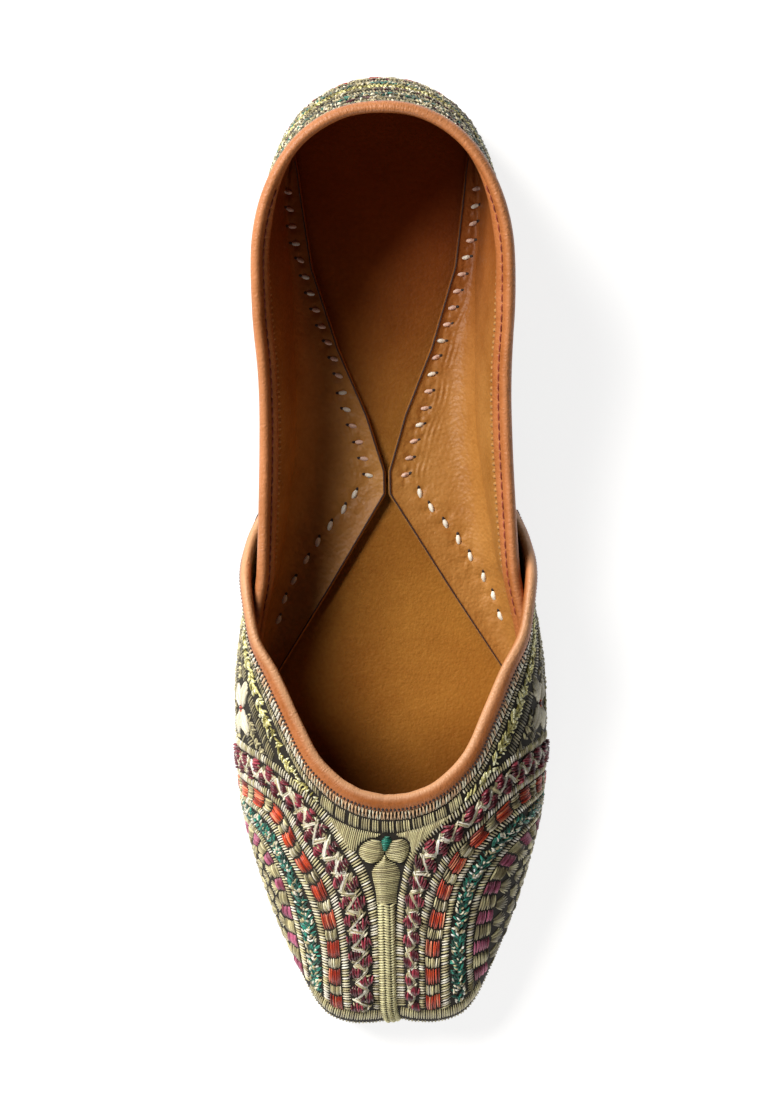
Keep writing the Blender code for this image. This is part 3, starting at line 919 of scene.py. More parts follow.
def sampleAlong(field, at, climb, fromTop):
    # channels at places in the table and distances (mm) down from the topline or up from the foot
    at, climb = np.broadcast_arrays(at, climb)
    column = np.clip(at / field["last"] * field["columns"], 0, field["columns"] - 1e-6)
    first = np.floor(column).astype(int)
    share = (column - first)[..., None]
    rows = field["channels"].shape[1]
    found = []
    for edge in (first, first + 1):
        reach = field["fromFoot"][edge]
        wanted = reach[..., -1] - climb if fromTop else climb
        inside = (wanted >= 0) & (wanted <= reach[..., -1])
        above = np.clip((reach < wanted[..., None]).sum(-1), 1, rows - 1)
        low = np.take_along_axis(reach, (above - 1)[..., None], -1)[..., 0]
        high = np.take_along_axis(reach, above[..., None], -1)[..., 0]
        part = ((wanted - low) / np.maximum(high - low, 1e-9))[..., None]
        got = field["channels"][edge, above - 1] * (1 - part) + field["channels"][edge, above] * part
        got[~inside] = np.nan
        found.append(got)
    return found[0] * (1 - share) + found[1] * share


def edgeBand(field, strip, startAt, endAt, fromTop=True):
    # a strip (mm from the topline or the foot, width) between two rows of the rib table;
    # comes back as place(mm along, mm across), length and width
    near, width = strip
    line = np.linspace(startAt, endAt, 500)
    middle = sampleAlong(field, line, np.full_like(line, near + width / 2), fromTop)[:, pointPart]
    onWall = ~np.isnan(middle).any(axis=1)
    line, middle = line[onWall], middle[onWall]
    run = runLength(middle) / mm

    def place(along, across):
        return sampleAlong(field, np.interp(along, run, line), near + across, fromTop)

    return place, run[-1], width


vampField = wallField(vampFace, vampInner, vampTable, vampLast, 352, 60, vampOut)
quarterField = wallField(quarterFace, quarterInner, quarterTable, quarterLast, 320, 48, quarterOut)
flatChannels = vampField["channels"].reshape(-1, channelCount)
columnCount, rowCount = vampField["channels"].shape[:2]
flatIndex = np.arange(columnCount * rowCount).reshape(columnCount, rowCount)
flatTriangles = np.concatenate([
    np.stack([flatIndex[:-1, :-1], flatIndex[1:, :-1], flatIndex[1:, 1:]], -1).reshape(-1, 3),
    np.stack([flatIndex[:-1, :-1], flatIndex[1:, 1:], flatIndex[:-1, 1:]], -1).reshape(-1, 3),
])
flatPlaces = flatChannels[:, [flatHalf, flatAlong]]
flatCorners = np.concatenate([flatPlaces, np.zeros((len(flatPlaces), 1))], axis=1)
flatTree = BVHTree.FromPolygons(flatCorners.tolist(), flatTriangles.tolist())


def sampleFlat(half, along):
    # channels at places (mm) of the vamp's flat pattern; places off the pattern come back as nan
    half, along = np.broadcast_arrays(half, along)
    found = np.full(half.shape + (channelCount,), np.nan)
    down = Vector((0, 0, -1))
    for spot in np.ndindex(half.shape):
        if math.isnan(half[spot]):
            continue
        index = flatTree.ray_cast(Vector((half[spot], along[spot], 5.0)), down)[2]
        if index is None:
            continue
        a, b, c = flatTriangles[index]
        pa, pb, pc = flatCorners[a], flatCorners[b], flatCorners[c]
        area = (pb[0] - pa[0]) * (pc[1] - pa[1]) - (pc[0] - pa[0]) * (pb[1] - pa[1])
        wb = ((half[spot] - pa[0]) * (pc[1] - pa[1]) - (pc[0] - pa[0]) * (along[spot] - pa[1])) / area
        wc = ((pb[0] - pa[0]) * (along[spot] - pa[1]) - (half[spot] - pa[0]) * (pb[1] - pa[1])) / area
        found[spot] = flatChannels[a] * (1 - wb - wc) + flatChannels[b] * wb + flatChannels[c] * wc
    return found


# The vamp's pattern on its flat cloth: nested arches, each guide from the toe to the side as half, along (mm)
arches = {
    "ladder": [(1.3, -10.0), (1.6, 8.0), (1.9, 24.0), (3.4, 37.5), (8.7, 50.3), (20.0, 61.4), (31.5, 71.3),
               (47.0, 76.9), (68.0, 79.5)],
    "orange": [(13.3, -11.0), (13.7, 6.0), (14.0, 18.5), (16.0, 29.0), (19.4, 38.5), (25.5, 48.5),
               (34.0, 58.0), (47.0, 63.2), (67.0, 66.0)],
    "pink": [(38.5, 1.5), (34.8, 12.0), (33.5, 20.5), (33.7, 29.0), (35.0, 36.5), (39.0, 43.0), (46.0, 47.3),
             (54.0, 49.6), (64.0, 51.0)],
    "levels": (0.0, 12.0, 28.0),         # mm across the arches at the three guides
    "shift": (-2.0, -3.9),               # the cloth sits a little to one side: at its middle, on the arches
    "shiftGrows": (2.5, 13.0),           # half: from the middle's shift to the arches'
    "shiftDies": ((25.0, 50.0), (46.0, 62.0)),    # half and along: towards the sides and the throat
    "shiftToe": (-14.0, 2.0),            # along: from none at the toe's foot
}


def patternShift(half, along):
    middle, aside = arches["shift"]
    drift = middle + (aside - middle) * smoothStep(np.abs(half), *arches["shiftGrows"])
    toSide, toThroat = arches["shiftDies"]
    fade = (1 - smoothStep(np.abs(half), *toSide)) * (1 - smoothStep(along, *toThroat))
    return drift * fade * smoothStep(along, *arches["shiftToe"])


def onCloth(half, along):
    return sampleFlat(half + patternShift(half, along), along)


def archBand(level, width, side):
    ladderLine, orangeLine, pinkLine = (np.array(arches[name]) for name in ("ladder", "orange", "pink"))
    levels = arches["levels"]

    def arch(at, across):
        a, b, c = (smoothRows(guide, at) for guide in (ladderLine, orangeLine, pinkLine))
        first = ((across - levels[0]) / (levels[1] - levels[0]))[..., None]
        second = ((across - levels[1]) / (levels[2] - levels[1]))[..., None]
        return np.where(first < 1, a + (b - a) * first, b + (c - b) * second)

    line = np.linspace(0, len(ladderLine) - 1, 400)
    middle = arch(line, np.full_like(line, level + width / 2))
    run = runLength(middle)

    def place(along, across):
        spot = arch(np.interp(along, run, line), level + across)
        return onCloth(side * spot[..., 0], spot[..., 1])

    return place, run[-1], width


def sew(bag, place, start, end, width, height, colour, keep=None, rings=4):
    # stitches from start to end, each given as (mm along, mm across) of a place function
    start, end = np.asarray(start, float), np.asarray(end, float)
    spots = start[:, None, :] + (end - start)[:, None, :] * np.linspace(0, 1, rings)[None, :, None]
    channels = place(spots[..., 0], spots[..., 1])
    good = ~np.isnan(channels).any(axis=(1, 2))
    if keep is not None:
        good &= keep(channels[:, rings // 2])
    channels = channels[good]
    count = len(start)
    widths = np.broadcast_to(width, count)[good] * mm
    heights = np.broadcast_to(height, count)[good] * mm
    dyes = np.asarray(colour)[good]
    bag.append((channels[..., pointPart], channels[..., normalPart], widths, heights, dyes))


def ladder(bag, band, pitch, names, keep=None, slant=0.0, wide=0.66, high=0.32):
    # short stitches side by side across a strip
    place, length, width = band
    count = int(length / pitch)
    along = (np.arange(count) + 0.5) * pitch + chance.normal(0, 0.07 * pitch, count)
    inset = chance.uniform(0.0, 0.07, (2, count)) * width
    start = np.stack([along - slant / 2, inset[0]], -1)
    end = np.stack([along + slant / 2, width - inset[1]], -1)
    sew(bag, place, start, end, pitch * wide, high, mixed(names, count), keep)


sideBySide = 0.95            # how much of its lane a satin stitch fills


def cells(bag, band, pattern, pitch, keep=None, high=0.38):
    # blocks of stitches that lie along a strip, one after another: (length in mm, thread names)
    place, length, width = band
    start, end, colour = [], [], []
    went = chance.uniform(0, 2.0)
    turn = 0
    lines = int(width / pitch)
    while went < length:
        long, names = pattern[turn % len(pattern)]
        across = (np.arange(lines) + 0.5) * width / lines + chance.normal(0, 0.04, lines)
        ragged = chance.uniform(0.05, 0.5, (2, lines))
        start.append(np.stack([went + ragged[0], across + chance.normal(0, 0.12, lines)], -1))
        end.append(np.stack([went + long - ragged[1], across + chance.normal(0, 0.12, lines)], -1))
        colour.append(mixed(names, lines, 0.22))
        went += long + 0.1
        turn += 1
    start, end, colour = (np.concatenate(rows) for rows in (start, end, colour))
    sew(bag, place, start, end, width / lines * sideBySide, high, colour, keep)


zigzagForm = {
    "levels": (0.22, 0.78),          # where its bends lie, as shares of the strip's width
    "strands": (-0.34, 0.0, 0.34),   # side by side, in widths of the thread
    "strandWidth": (0.45, 0.75),
    "strandHeight": 0.65,
    "lanes": (0.65, 0.95, 1.0, 0.95, 0.65),    # how long a knot's stitches are, from the strip's edge inwards
    "laneStart": 0.03,
    "laneStep": 0.115,
    "knotReach": 0.31,               # half of its longest stitch, in periods
    "knotWidth": 0.13,
}


def zigzag(bag, band, period, snake, fill, snakeWidth, keep=None, knotHeight=1.1):
    # a thick thread that swings from edge to edge, with a raised square knot of stitches in each bend
    place, length, width = band
    halves = int(length / period * 2)
    at = np.arange(halves + 1) * period / 2 + chance.normal(0, 0.045 * period, halves + 1)
    up = np.arange(halves + 1) % 2 == 0
    level = np.where(up, *zigzagForm["levels"]) * width + chance.normal(0, 0.04 * width, halves + 1)
    ends = np.stack([at, level], -1)
    for strand in zigzagForm["strands"]:
        aside = np.array([strand * snakeWidth, 0.0]) + chance.normal(0, 0.16, (halves + 1, 2))
        thick = snakeWidth * chance.uniform(*zigzagForm["strandWidth"], halves)
        laid = ends + aside
        dyes = mixed(snake, halves, 0.16)
        sew(bag, place, laid[:-1], laid[1:], thick, zigzagForm["strandHeight"], dyes, keep, 5)
    centre = at[1:]
    fromLow = up[:-1]
    for lane, share in enumerate(zigzagForm["lanes"]):
        level = zigzagForm["laneStart"] + zigzagForm["laneStep"] * lane
        inset = level * width + chance.normal(0, 0.06, halves)
        slope = chance.normal(0, 0.25, halves)
        reach = period * zigzagForm["knotReach"] * share * chance.uniform(0.85, 1.1, halves)
        base = np.where(fromLow, inset, width - inset)
        start = np.stack([centre - reach, base - slope], -1)
        end = np.stack([centre + reach, base + slope], -1)
        dyes = mixed(fill, halves, 0.25)
        sew(bag, place, start, end, width * zigzagForm["knotWidth"], knotHeight, dyes, keep)


tangleForm = {
    # stitches to each square mm, length and height (mm)
    "ground": (0.7, 2.1, 0.42),
    "flecks": (0.3, 1.4, 0.6),
    "width": 0.56,
    "lean": 0.8,                     # radians
    "centres": (0.14, 0.86),         # as shares of the strip's width
    "ends": (0.04, 0.96),
}


def tangle(bag, band, names, flecks, keep=None, crowd=1.0):
    # a crowded row of short slanted stitches, leaning both ways from its middle, with flecks laid over them
    place, length, width = band
    lean = tangleForm["lean"]
    nearest, furthest = (share * width for share in tangleForm["ends"])
    for dyes, kind in ((names, "ground"), (flecks, "flecks")):
        density, long, high = tangleForm[kind]
        count = int(length * density * width * crowd)
        along = np.sort(chance.uniform(0, length, count))
        across = chance.uniform(*tangleForm["centres"], count) * width
        turn = np.where(across > width / 2, lean, -lean) + chance.normal(0, 0.35, count)
        reach = long / 2 * chance.uniform(0.7, 1.2, count)
        low = np.clip(across - np.sin(turn) * reach, nearest, furthest)
        top = np.clip(across + np.sin(turn) * reach, nearest, furthest)
        start = np.stack([along - np.cos(turn) * reach, low], -1)
        end = np.stack([along + np.cos(turn) * reach, top], -1)
        sew(bag, place, start, end, tangleForm["width"], high, mixed(dyes, count, 0.18), keep)


def scallops(bag, band, period, names, keep):
    # shells side by side, each a fan of stitches from the middle of its base
    place, length, width = band
    count = int(length / period)
    centre = (np.arange(count) + 0.5) * period
    for turn in np.radians([-66, -44, -22, 0, 22, 44, 66]):
        reach = width * 0.92
        start = np.stack([centre + math.sin(turn) * 0.8, np.full(count, 0.1 + 0.25 * math.cos(turn))], -1)
        end = np.stack([centre + math.sin(turn) * reach * period / width * 0.52,
                        np.full(count, math.cos(turn * 0.8) * reach)], -1)
        sew(bag, place, start, end, 0.52, 0.34, mixed(names, count, 0.12), keep)


def patch(bag, outline, names, angle, pitch, high):
    # satin stitches that fill a closed outline (mm on the flat cloth), at an angle in degrees
    outline = np.asarray(outline, float)
    turn = math.radians(angle)
    along = np.array([math.cos(turn), math.sin(turn)])
    aside = np.array([-math.sin(turn), math.cos(turn)])
    u, v = outline @ along, outline @ aside
    start, end = [], []
    for level in np.arange(v.min() + pitch / 2, v.max(), pitch):
        nextU, nextV = np.roll(u, -1), np.roll(v, -1)
        crosses = (v <= level) != (nextV <= level)
        share = (level - v[crosses]) / (nextV[crosses] - v[crosses])
        hits = u[crosses] + share * (nextU[crosses] - u[crosses])
        if len(hits) >= 2:
            start.append(along * hits.min() + aside * level)
            end.append(along * hits.max() + aside * level)
    count = len(start)
    sew(bag, onCloth, start, end, pitch * sideBySide, high, mixed(names, count, 0.07), None, 5)


def oval(half, along, wide, long, angle=0.0):
    turn = np.linspace(0, 2 * math.pi, 40, endpoint=False)
    tilt = math.radians(angle)
    x, y = np.cos(turn) * wide / 2, np.sin(turn) * long / 2
    return np.stack([half + x * math.cos(tilt) - y * math.sin(tilt),
                     along + x * math.sin(tilt) + y * math.cos(tilt)], -1)


clearance = {"foot": 3.4, "toeMore": 5.6, "toeRows": (3.2, 4.4)}    # mm up from the foot, and more at the toe


def clearOfBorders(channel):
    # keeps the arches off the satin border at the toe and the narrow ladder along the foot
    atToe = 1 - smoothStep(np.abs(channel[:, ribRow] - vampMiddle), *clearance["toeRows"])
    return channel[:, footClimb] > clearance["foot"] + clearance["toeMore"] * atToe


# Vamp embroidery, band by band across the arches
vampBands = [
    # level, width (mm), kind
    (0.0, 2.1, "ladder"),
    (2.2, 5.5, "maroon"),
    (7.8, 2.2, "ladder"),
    (10.2, 4.1, "orange"),
    (14.5, 2.2, "ladder"),
    (16.8, 5.4, "teal"),
    (22.3, 2.0, "ladder"),
    (24.6, 4.3, "pink"),
    (29.2, 4.4, "scallop"),
    (33.6, 4.4, "scallop"),
    (38.0, 4.4, "scallop"),
    (42.4, 4.4, "scallop"),
]
khakis = ["khaki", "deepKhaki", "olive"]
ladderDyes = ["cream", "khaki", "paleGold", "white"]
orangeBlocks = [
    # length (mm), threads
    (5.1, ["orange", "orange", "vermilion", "brick", "apricot"]),
    (3.3, ["khaki", "paleGold", "cream", "deepKhaki"]),
]
pinkBlocks = [
    (3.9, ["pink", "rosewood", "pink"]),
    (4.3, ["khaki", "deepKhaki", "paleGold"]),
]
ladderBag, maroonBag, orangeBag, tealBag, pinkBag = [], [], [], [], []
for side in (-1.0, 1.0):
    for level, width, kind in vampBands:
        band = archBand(level, width, side)
        if kind == "ladder":
            ladder(ladderBag, band, 0.84, ladderDyes, clearOfBorders, slant=0.3, wide=0.6, high=0.42)
        elif kind == "maroon":
            tangle(maroonBag, band, ["khaki", "deepKhaki", "cream"], ["cream", "khaki"], clearOfBorders,
                   crowd=0.8)
            zigzag(maroonBag, band, 5.7, ["cream", "white", "khaki"],
                   ["maroon", "plum", "plum", "maroon", "claret"], snakeWidth=1.0, keep=clearOfBorders)
        elif kind == "orange":
            cells(orangeBag, band, orangeBlocks, 0.48, clearOfBorders, high=0.55)
        elif kind == "teal":
            tangle(tealBag, band, ["teal", "bottle", "bottle", "bottle", "seaGreen"],
                   ["cream", "khaki", "white"], clearOfBorders, crowd=1.35)
        elif kind == "pink":
            cells(pinkBag, band, pinkBlocks, 0.6, clearOfBorders, high=0.5)
        else:
            scallops(pinkBag, band, 5.0, ["khaki", "deepKhaki", "paleGold"], clearOfBorders)
sewnOn(("vamp_ladders", ladderBag), ("vamp_maroon_zigzag", maroonBag), ("vamp_orange_squares", orangeBag),
       ("vamp_teal_tangle", tealBag), ("vamp_pink_squares", pinkBag))

# Middle of the vamp: spine, bulb, two petals with a dot between them, two wedges (mm on the flat cloth)
motif = {
    "bulb": [(0.2, 46.8), (1.0, 45.6), (2.6, 44.2), (3.5, 42.4), (3.4, 40.6), (2.8, 38.0), (2.45, 35.4),
             (2.35, 32.6)],
    "petal": (3.4, 48.2, 6.4, 6.6),      # half, along, wide, long
    "dot": (0.0, 50.4, 2.7, 4.0),
    "wedge": [(1.9, 53.0), (8.0, 54.4), (14.5, 57.0), (17.2, 58.2), (12.4, 52.6), (10.0, 49.6), (8.4, 46.4),
              (7.4, 48.4), (6.6, 50.6), (4.6, 52.0), (3.0, 52.0)],
    "spineWidth": 4.7,
    "spineFoot": 1.0,            # mm up from the foot
    "spineEnd": 33.0,
    "topline": 60.8,
    "perRow": 5.0,               # about how many mm lie between two ribs at the toe
    "spineThickness": 0.9,
    "padThickness": 0.4,
    "plaitPitch": 0.8,
}
gilded = ["paleGold", "paleGold", "khaki"]
middleBag = []
bulbHalf = np.array(motif["bulb"])
bulbRound = np.concatenate([bulbHalf, bulbHalf[::-1] * np.array([-1, 1])])
patch(middleBag, bulbRound, gilded, angle=4.0, pitch=0.52, high=0.8)
for side in (-1.0, 1.0):
    half, along, wide, long = motif["petal"]
    petal = oval(side * half, along, wide, long)
    patch(middleBag, petal, gilded, angle=12.0 * side, pitch=0.5, high=0.8)
    wedge = np.array(motif["wedge"]) * np.array([side, 1])
    patch(middleBag, wedge, ["khaki", "paleGold"], angle=90.0, pitch=0.52, high=0.45)
patch(middleBag, oval(*motif["dot"]), ["teal", "seaGreen"], angle=0.0, pitch=0.5, high=0.7)
sewnOn(("vamp_middle_motif", middleBag))
middleLength = vampField["fromFoot"][vampField["columns"] // 2, -1]
spineStart = motif["topline"] - middleLength + motif["spineFoot"]
spineLength = motif["spineEnd"] - spineStart


def onSpine(along, across):
    # the spine lies on the vamp's middle ribs, mm up from its toe end and mm to the side, with a round crown
    flat = spineStart + along
    down = motif["topline"] - flat
    wanted = across + patternShift(across, flat)
    at = np.full_like(down, vampMiddle)
    for step in range(10):
        reached = sampleAlong(vampField, at, down, True)[..., 0] / mm
        at = at + (wanted - reached) / motif["perRow"]
    channels = sampleAlong(vampField, at, down, True)
    crown = motif["spineThickness"] * np.sqrt(np.clip(1 - (2 * across / motif["spineWidth"]) ** 2, 0, 1))
    channels[..., pointPart] += channels[..., normalPart] * (crown * mm)[..., None]
    return channels


spinePiece = sheetOf("toe_spine_pad", 12, 80, lambda column, row: onSpine(
    row * spineLength, (0.5 - column) * motif["spineWidth"] * 0.98)[:, pointPart])
thicken(spinePiece, motif["padThickness"], 1.0)
settle(spinePiece, groundCloth, "gold_braid", "toe_spine")
spineBag = []
rungs = np.arange(0.4, spineLength - 0.4, motif["plaitPitch"])
for inner, outer, lean in ((-2.3, -0.8, 0.6), (-0.8, 0.8, -0.5), (0.8, 2.3, 0.6)):
    start = np.stack([rungs - lean / 2, np.full_like(rungs, inner)], -1)
    end = np.stack([rungs + lean / 2, np.full_like(rungs, outer)], -1)
    colour = mixed(["straw", "straw", "paleGold"], len(rungs), 0.06)
    sew(spineBag, onSpine, start, end, 0.66, 0.4, colour)
tubeMesh("toe_spine_plait", spineBag, rayonThread)
print("arches and middle motif sewn")

# Topline, foot and sides of the vamp
border = {
    "overcast": (0.9, 3.0),          # from the topline, width (mm)
    "overcastReach": 5.0,            # rows of the rib table to each side of the middle
    "throatSatin": (4.2, 3.3),
    "throatReach": 4.3,
    "throatBlocks": 13,
    "sideLadder": (4.1, 1.5),
    "braid": (5.8, 4.4),
    "footLadder": (0.7, 2.3),        # from the foot
    "toeSatin": (4.4, 4.3),
    "toeReach": 3.5,
    "flower": (48.0, 86.5),          # half, along on the flat cloth
    "flowerRoom": (5.6, 8.4),
    "petal": (4.2, 8.0),             # wide, long
    "heart": (2.0, 2.0),
    "braidGap": 0.3,
    "sideRows": 9,
    "sideRow": (3.0, 3.2),           # width, and from one row to the next
    "sideFoot": 3.2,                 # the rows stop this far up from the foot
    "clearLadder": 0.6,
}
edgeBag, braidBag, sideBag = [], [], []


def overcast(bag, field, strip, low, high, pitch, names):
    # a machine's zigzag that holds the binding: two slanted threads to each step
    band = edgeBand(field, strip, low, high)
    ladder(bag, band, pitch, names, slant=pitch * 0.55, wide=0.5, high=0.42)
    ladder(bag, band, pitch, names, slant=-pitch * 0.55, wide=0.42, high=0.5)


reach = border["overcastReach"]
overcast(edgeBag, vampField, border["overcast"], vampMiddle - reach, vampMiddle + reach, 0.95,
         ["overcast", "overcast", "cream"])
for low, high in ((1.2, vampMiddle - reach), (vampMiddle + reach, vampLast - 1.2)):
    overcast(edgeBag, vampField, border["overcast"], low, high, 1.25, ["overcast", "cream", "white"])
reach = border["throatReach"]
blockEnds = np.linspace(vampMiddle - reach, vampMiddle + reach, border["throatBlocks"] + 1)
for turn, (low, high) in enumerate(zip(blockEnds[:-1], blockEnds[1:])):
    tones = ["khaki", "deepKhaki", "khaki"] if turn % 2 else gilded
    band = edgeBand(vampField, border["throatSatin"], low, high - 0.04)
    ladder(edgeBag, band, 0.62, tones, slant=0.1, wide=0.85, high=0.45)
band = edgeBand(vampField, border["footLadder"], 0.5, vampLast - 0.5, False)
ladder(edgeBag, band, 0.9, ["khaki", "cream", "deepKhaki"])
for low, high in ((-border["toeReach"], -0.35), (0.35, border["toeReach"])):
    band = edgeBand(vampField, border["toeSatin"], vampMiddle + low, vampMiddle + high, False)
    ladder(edgeBag, band, 0.62, ["paleGold", "khaki"], slant=0.3, wide=0.85, high=0.5)
sewnOn(("vamp_edge_stitching", edgeBag))


def outsideArches(channel):
    # the side field lies behind the arches' first ladder, clear of the flower
    guide = np.array(arches["ladder"])
    half = np.abs(channel[:, flatHalf])
    along = channel[:, flatAlong]
    overLadder = along > np.interp(half, guide[:, 0], guide[:, 1]) + border["clearLadder"]
    roomHalf, roomAlong = border["flowerRoom"]
    clear = np.hypot((half - flowerHalf) / roomHalf, (along - flowerAlong) / roomAlong) > 1
    return overLadder & clear & (channel[:, footClimb] > border["sideFoot"])


flowerHalf, flowerAlong = border["flower"]
petalWide, petalLong = border["petal"]
rowWidth, rowStep = border["sideRow"]
firstRow = sum(border["braid"]) + border["braidGap"]
for low, high in ((0.9, vampMiddle - reach - 0.04), (vampMiddle + reach + 0.04, vampLast - 0.9)):
    band = edgeBand(vampField, border["sideLadder"], low, high)
    ladder(sideBag, band, 0.8, ["khaki", "deepKhaki", "cream"], slant=0.4)
    band = edgeBand(vampField, border["braid"], low, high)
    tangle(braidBag, band, ["zari", "oldZari", "zari"], ["brightZari"], outsideArches)
    for row in range(border["sideRows"]):
        band = edgeBand(vampField, (firstRow + row * rowStep, rowWidth), low, high)
        if row % 3 == 0:
            ladder(sideBag, band, 0.8, khakis, outsideArches, slant=0.5, wide=0.6)
        elif row % 3 == 1:
            tangle(sideBag, band, khakis, ["paleGold"], outsideArches)
        else:
            ladder(sideBag, band, 0.8, ["deepKhaki", "olive", "khaki"], outsideArches, slant=-0.5, wide=0.6)
for side in (-1.0, 1.0):
    for angle in (60, 120, 240, 300):
        turn = math.radians(angle)
        away = petalLong * 0.55
        centre = (side * (flowerHalf + away * math.cos(turn)), flowerAlong + away * math.sin(turn))
        petal = oval(*centre, petalWide, petalLong, side * (angle - 90))
        lie = angle if side > 0 else 180 - angle
        patch(sideBag, petal, ["cream", "white", "cream"], angle=lie, pitch=0.55, high=0.65)
    heart = oval(side * flowerHalf, flowerAlong, *border["heart"])
    patch(sideBag, heart, ["maroon", "orange"], angle=0.0, pitch=0.5, high=0.7)
sewnOn(("vamp_side_stitching", sideBag))
tubeMesh("vamp_zari_braid", braidBag, zariThread)
print("vamp borders and sides sewn")

# Quarters: rows that follow the topline round the heel, from the rolled edge down to the sole
quarterRows = [
    # from the topline, width (mm), kind
    (0.6, 2.4, "overcast"),
    (3.2, 3.0, "flecks"),
    (6.4, 1.3, "khaki"),
    (7.9, 3.2, "flecks"),
    (11.3, 3.6, "leaves"),
    (15.1, 1.4, "khaki"),
    (16.7, 3.2, "flecks"),
    (20.1, 2.4, "braid"),
    (22.7, 3.6, "leaves"),
    (26.5, 1.6, "khaki"),
    (28.3, 3.2, "flecks"),
    (31.7, 1.4, "ladder"),
    (33.3, 4.2, "orange"),
    (37.7, 1.6, "ladder"),
    (39.5, 4.4, "maroon"),
    (44.1, 1.6, "ladder"),
    (45.9, 2.8, "khaki"),
]
heelRowBag, heelFleckBag, heelColourBag, heelBraidBag = [], [], [], []
heelEnds = (0.8, quarterLast - 0.8)     # rows of the rib table
flecks = ["khaki", "cream", "deepKhaki"]
for near, width, kind in quarterRows:
    band = edgeBand(quarterField, (near, width), *heelEnds)
    if kind == "overcast":
        overcast(heelRowBag, quarterField, (near, width), *heelEnds, 1.25, ["cream", "khaki", "white"])
    elif kind == "ladder":
        ladder(heelRowBag, band, 0.95, ["cream", "khaki", "deepKhaki"], slant=0.25)
    elif kind == "flecks":
        tangle(heelFleckBag, band, ["deepKhaki", "olive", "plum", "olive"], flecks)
    elif kind == "leaves":
        tangle(heelColourBag, band, ["teal", "bottle", "olive", "olive"], flecks)
    elif kind == "maroon":
        zigzag(heelColourBag, band, 5.8, ["cream", "paleGold"], ["maroon", "plum"], snakeWidth=1.2,
               knotHeight=0.6)
    elif kind == "orange":
        blocks = [(4.7, ["orange", "vermilion", "apricot"]), (4.2, ["khaki", "paleGold"])]
        cells(heelColourBag, band, blocks, 0.6)
    elif kind == "khaki":
        ladder(heelRowBag, band, 0.85, khakis, slant=0.6)
    else:
        for half, lean in ((0.0, 0.8), (width / 2, -0.8)):
            plait = edgeBand(quarterField, (near + half, width / 2), *heelEnds)
            ladder(heelBraidBag, plait, 1.1, ["zari", "oldZari", "oldZari"], slant=lean, wide=0.7, high=0.5)
sewnOn(("quarter_rows", heelRowBag), ("quarter_fleck_rows", heelFleckBag),
       ("quarter_coloured_rows", heelColourBag))
tubeMesh("quarter_zari_braid", heelBraidBag, zariThread)
print("quarters sewn")

# Sewing: white stitches that hold the flaps, the red line on the quarters' binding, and dark marks at the
# needle holes, which are painted shade in the holes
sewing = {
    # long, wide, high (mm) and the stitch's direction as (along, half)
    "front": (2.3, 1.45, 0.8, (0.94, -0.34)),
    "rear": (2.0, 1.25, 0.75, (0.25, 0.97)),
    "holes": (0.9, 0.9, 0.12),       # how far a hole's dark mark lies past the stitch's end, how wide and how high it is: painted shade in the needle hole
    "redLine": (-0.95, 0.55),        # out and over (mm) on the quarter binding's profile
    "redPitch": 2.6,
    "redStitch": (2.1, 0.5, 0.3),    # long, wide, high
    "needleHoles": (2.4, -0.75),     # dark marks on the vamp binding's outer hem: painted shade in its needle holes
    "needlePitch": 1.05,
    "needleHoleShade": (0.5, 0.9, 0.3),
    "stopShort": 0.3,                # rows of the rib table that both stop short of the binding's end
    "bumps": (4.4, 2.4, 1.7),        # small bumps on the quarters' lining: from the topline, width, pitch
    "edgeDyeAndShade": (0.5, 0.3),           # the flaps' dark edge line, partly dyed cut edge and partly painted shade along the raised edge: wide, high (mm)
    "cutShows": 2.0,                 # it is left out where the flap is narrower than this
}


def laidOn(tree, side, along, half, direction, long):
    # five points of a stitch laid on a flap from above, with the leather's normals
    path, facings = [], []
    for reach in np.linspace(-0.5, 0.5, 5) * long:
        start = Vector(inMetres(side * (half + direction[1] * reach), along + direction[0] * reach, 60.0))
        hit, facing = tree.ray_cast(start, Vector((0, 0, -1)))[:2]
        if hit is None:
            return None
        path.append(hit)
        facings.append(facing)
    return path, facings


# each stitch gets dark marks just past its ends: painted shade in the needle holes
sewBag, holeBag = [], []
for side, piece in ((-1.0, flapLeft), (1.0, flapRight)):
    tree = BVHTree.FromObject(piece, bpy.context.evaluated_depsgraph_get())
    rows = (("front", flaps["frontStitches"], ["white"]), ("rear", rearSpots, ["rose", "rose", "white"]))
    for kind, spots, names in rows:
        long, wide, high, direction = sewing[kind]
        pastEnd, holeWide, holeHigh = sewing["holes"]
        laid, holes = [], []
        for along, half in spots:
            tilt = unit(np.array(direction) + chance.normal(0, 0.12, 2))
            laid.append(laidOn(tree, side, along, half, tilt, long))
            aside = tilt * (long / 2 + pastEnd * 0.4)
            holes.append(laidOn(tree, side, along + aside[0], half + aside[1], tilt, pastEnd))
        both = ((sewBag, laid, wide, high, names), (holeBag, holes, holeWide, holeHigh, ["holeShade"]))
        for bag, found, size, lift, dyes in both:
            found = [one for one in found if one is not None]
            count = len(found)
            bag.append((np.array([one[0] for one in found]), np.array([one[1] for one in found]),
                        np.full(count, size * mm), np.full(count, lift * mm), mixed(dyes, count, 0.06)))
tubeMesh("flap_stitches", sewBag, sewingThread)
tubeMesh("flap_stitch_hole_shade", holeBag, sewingThread)
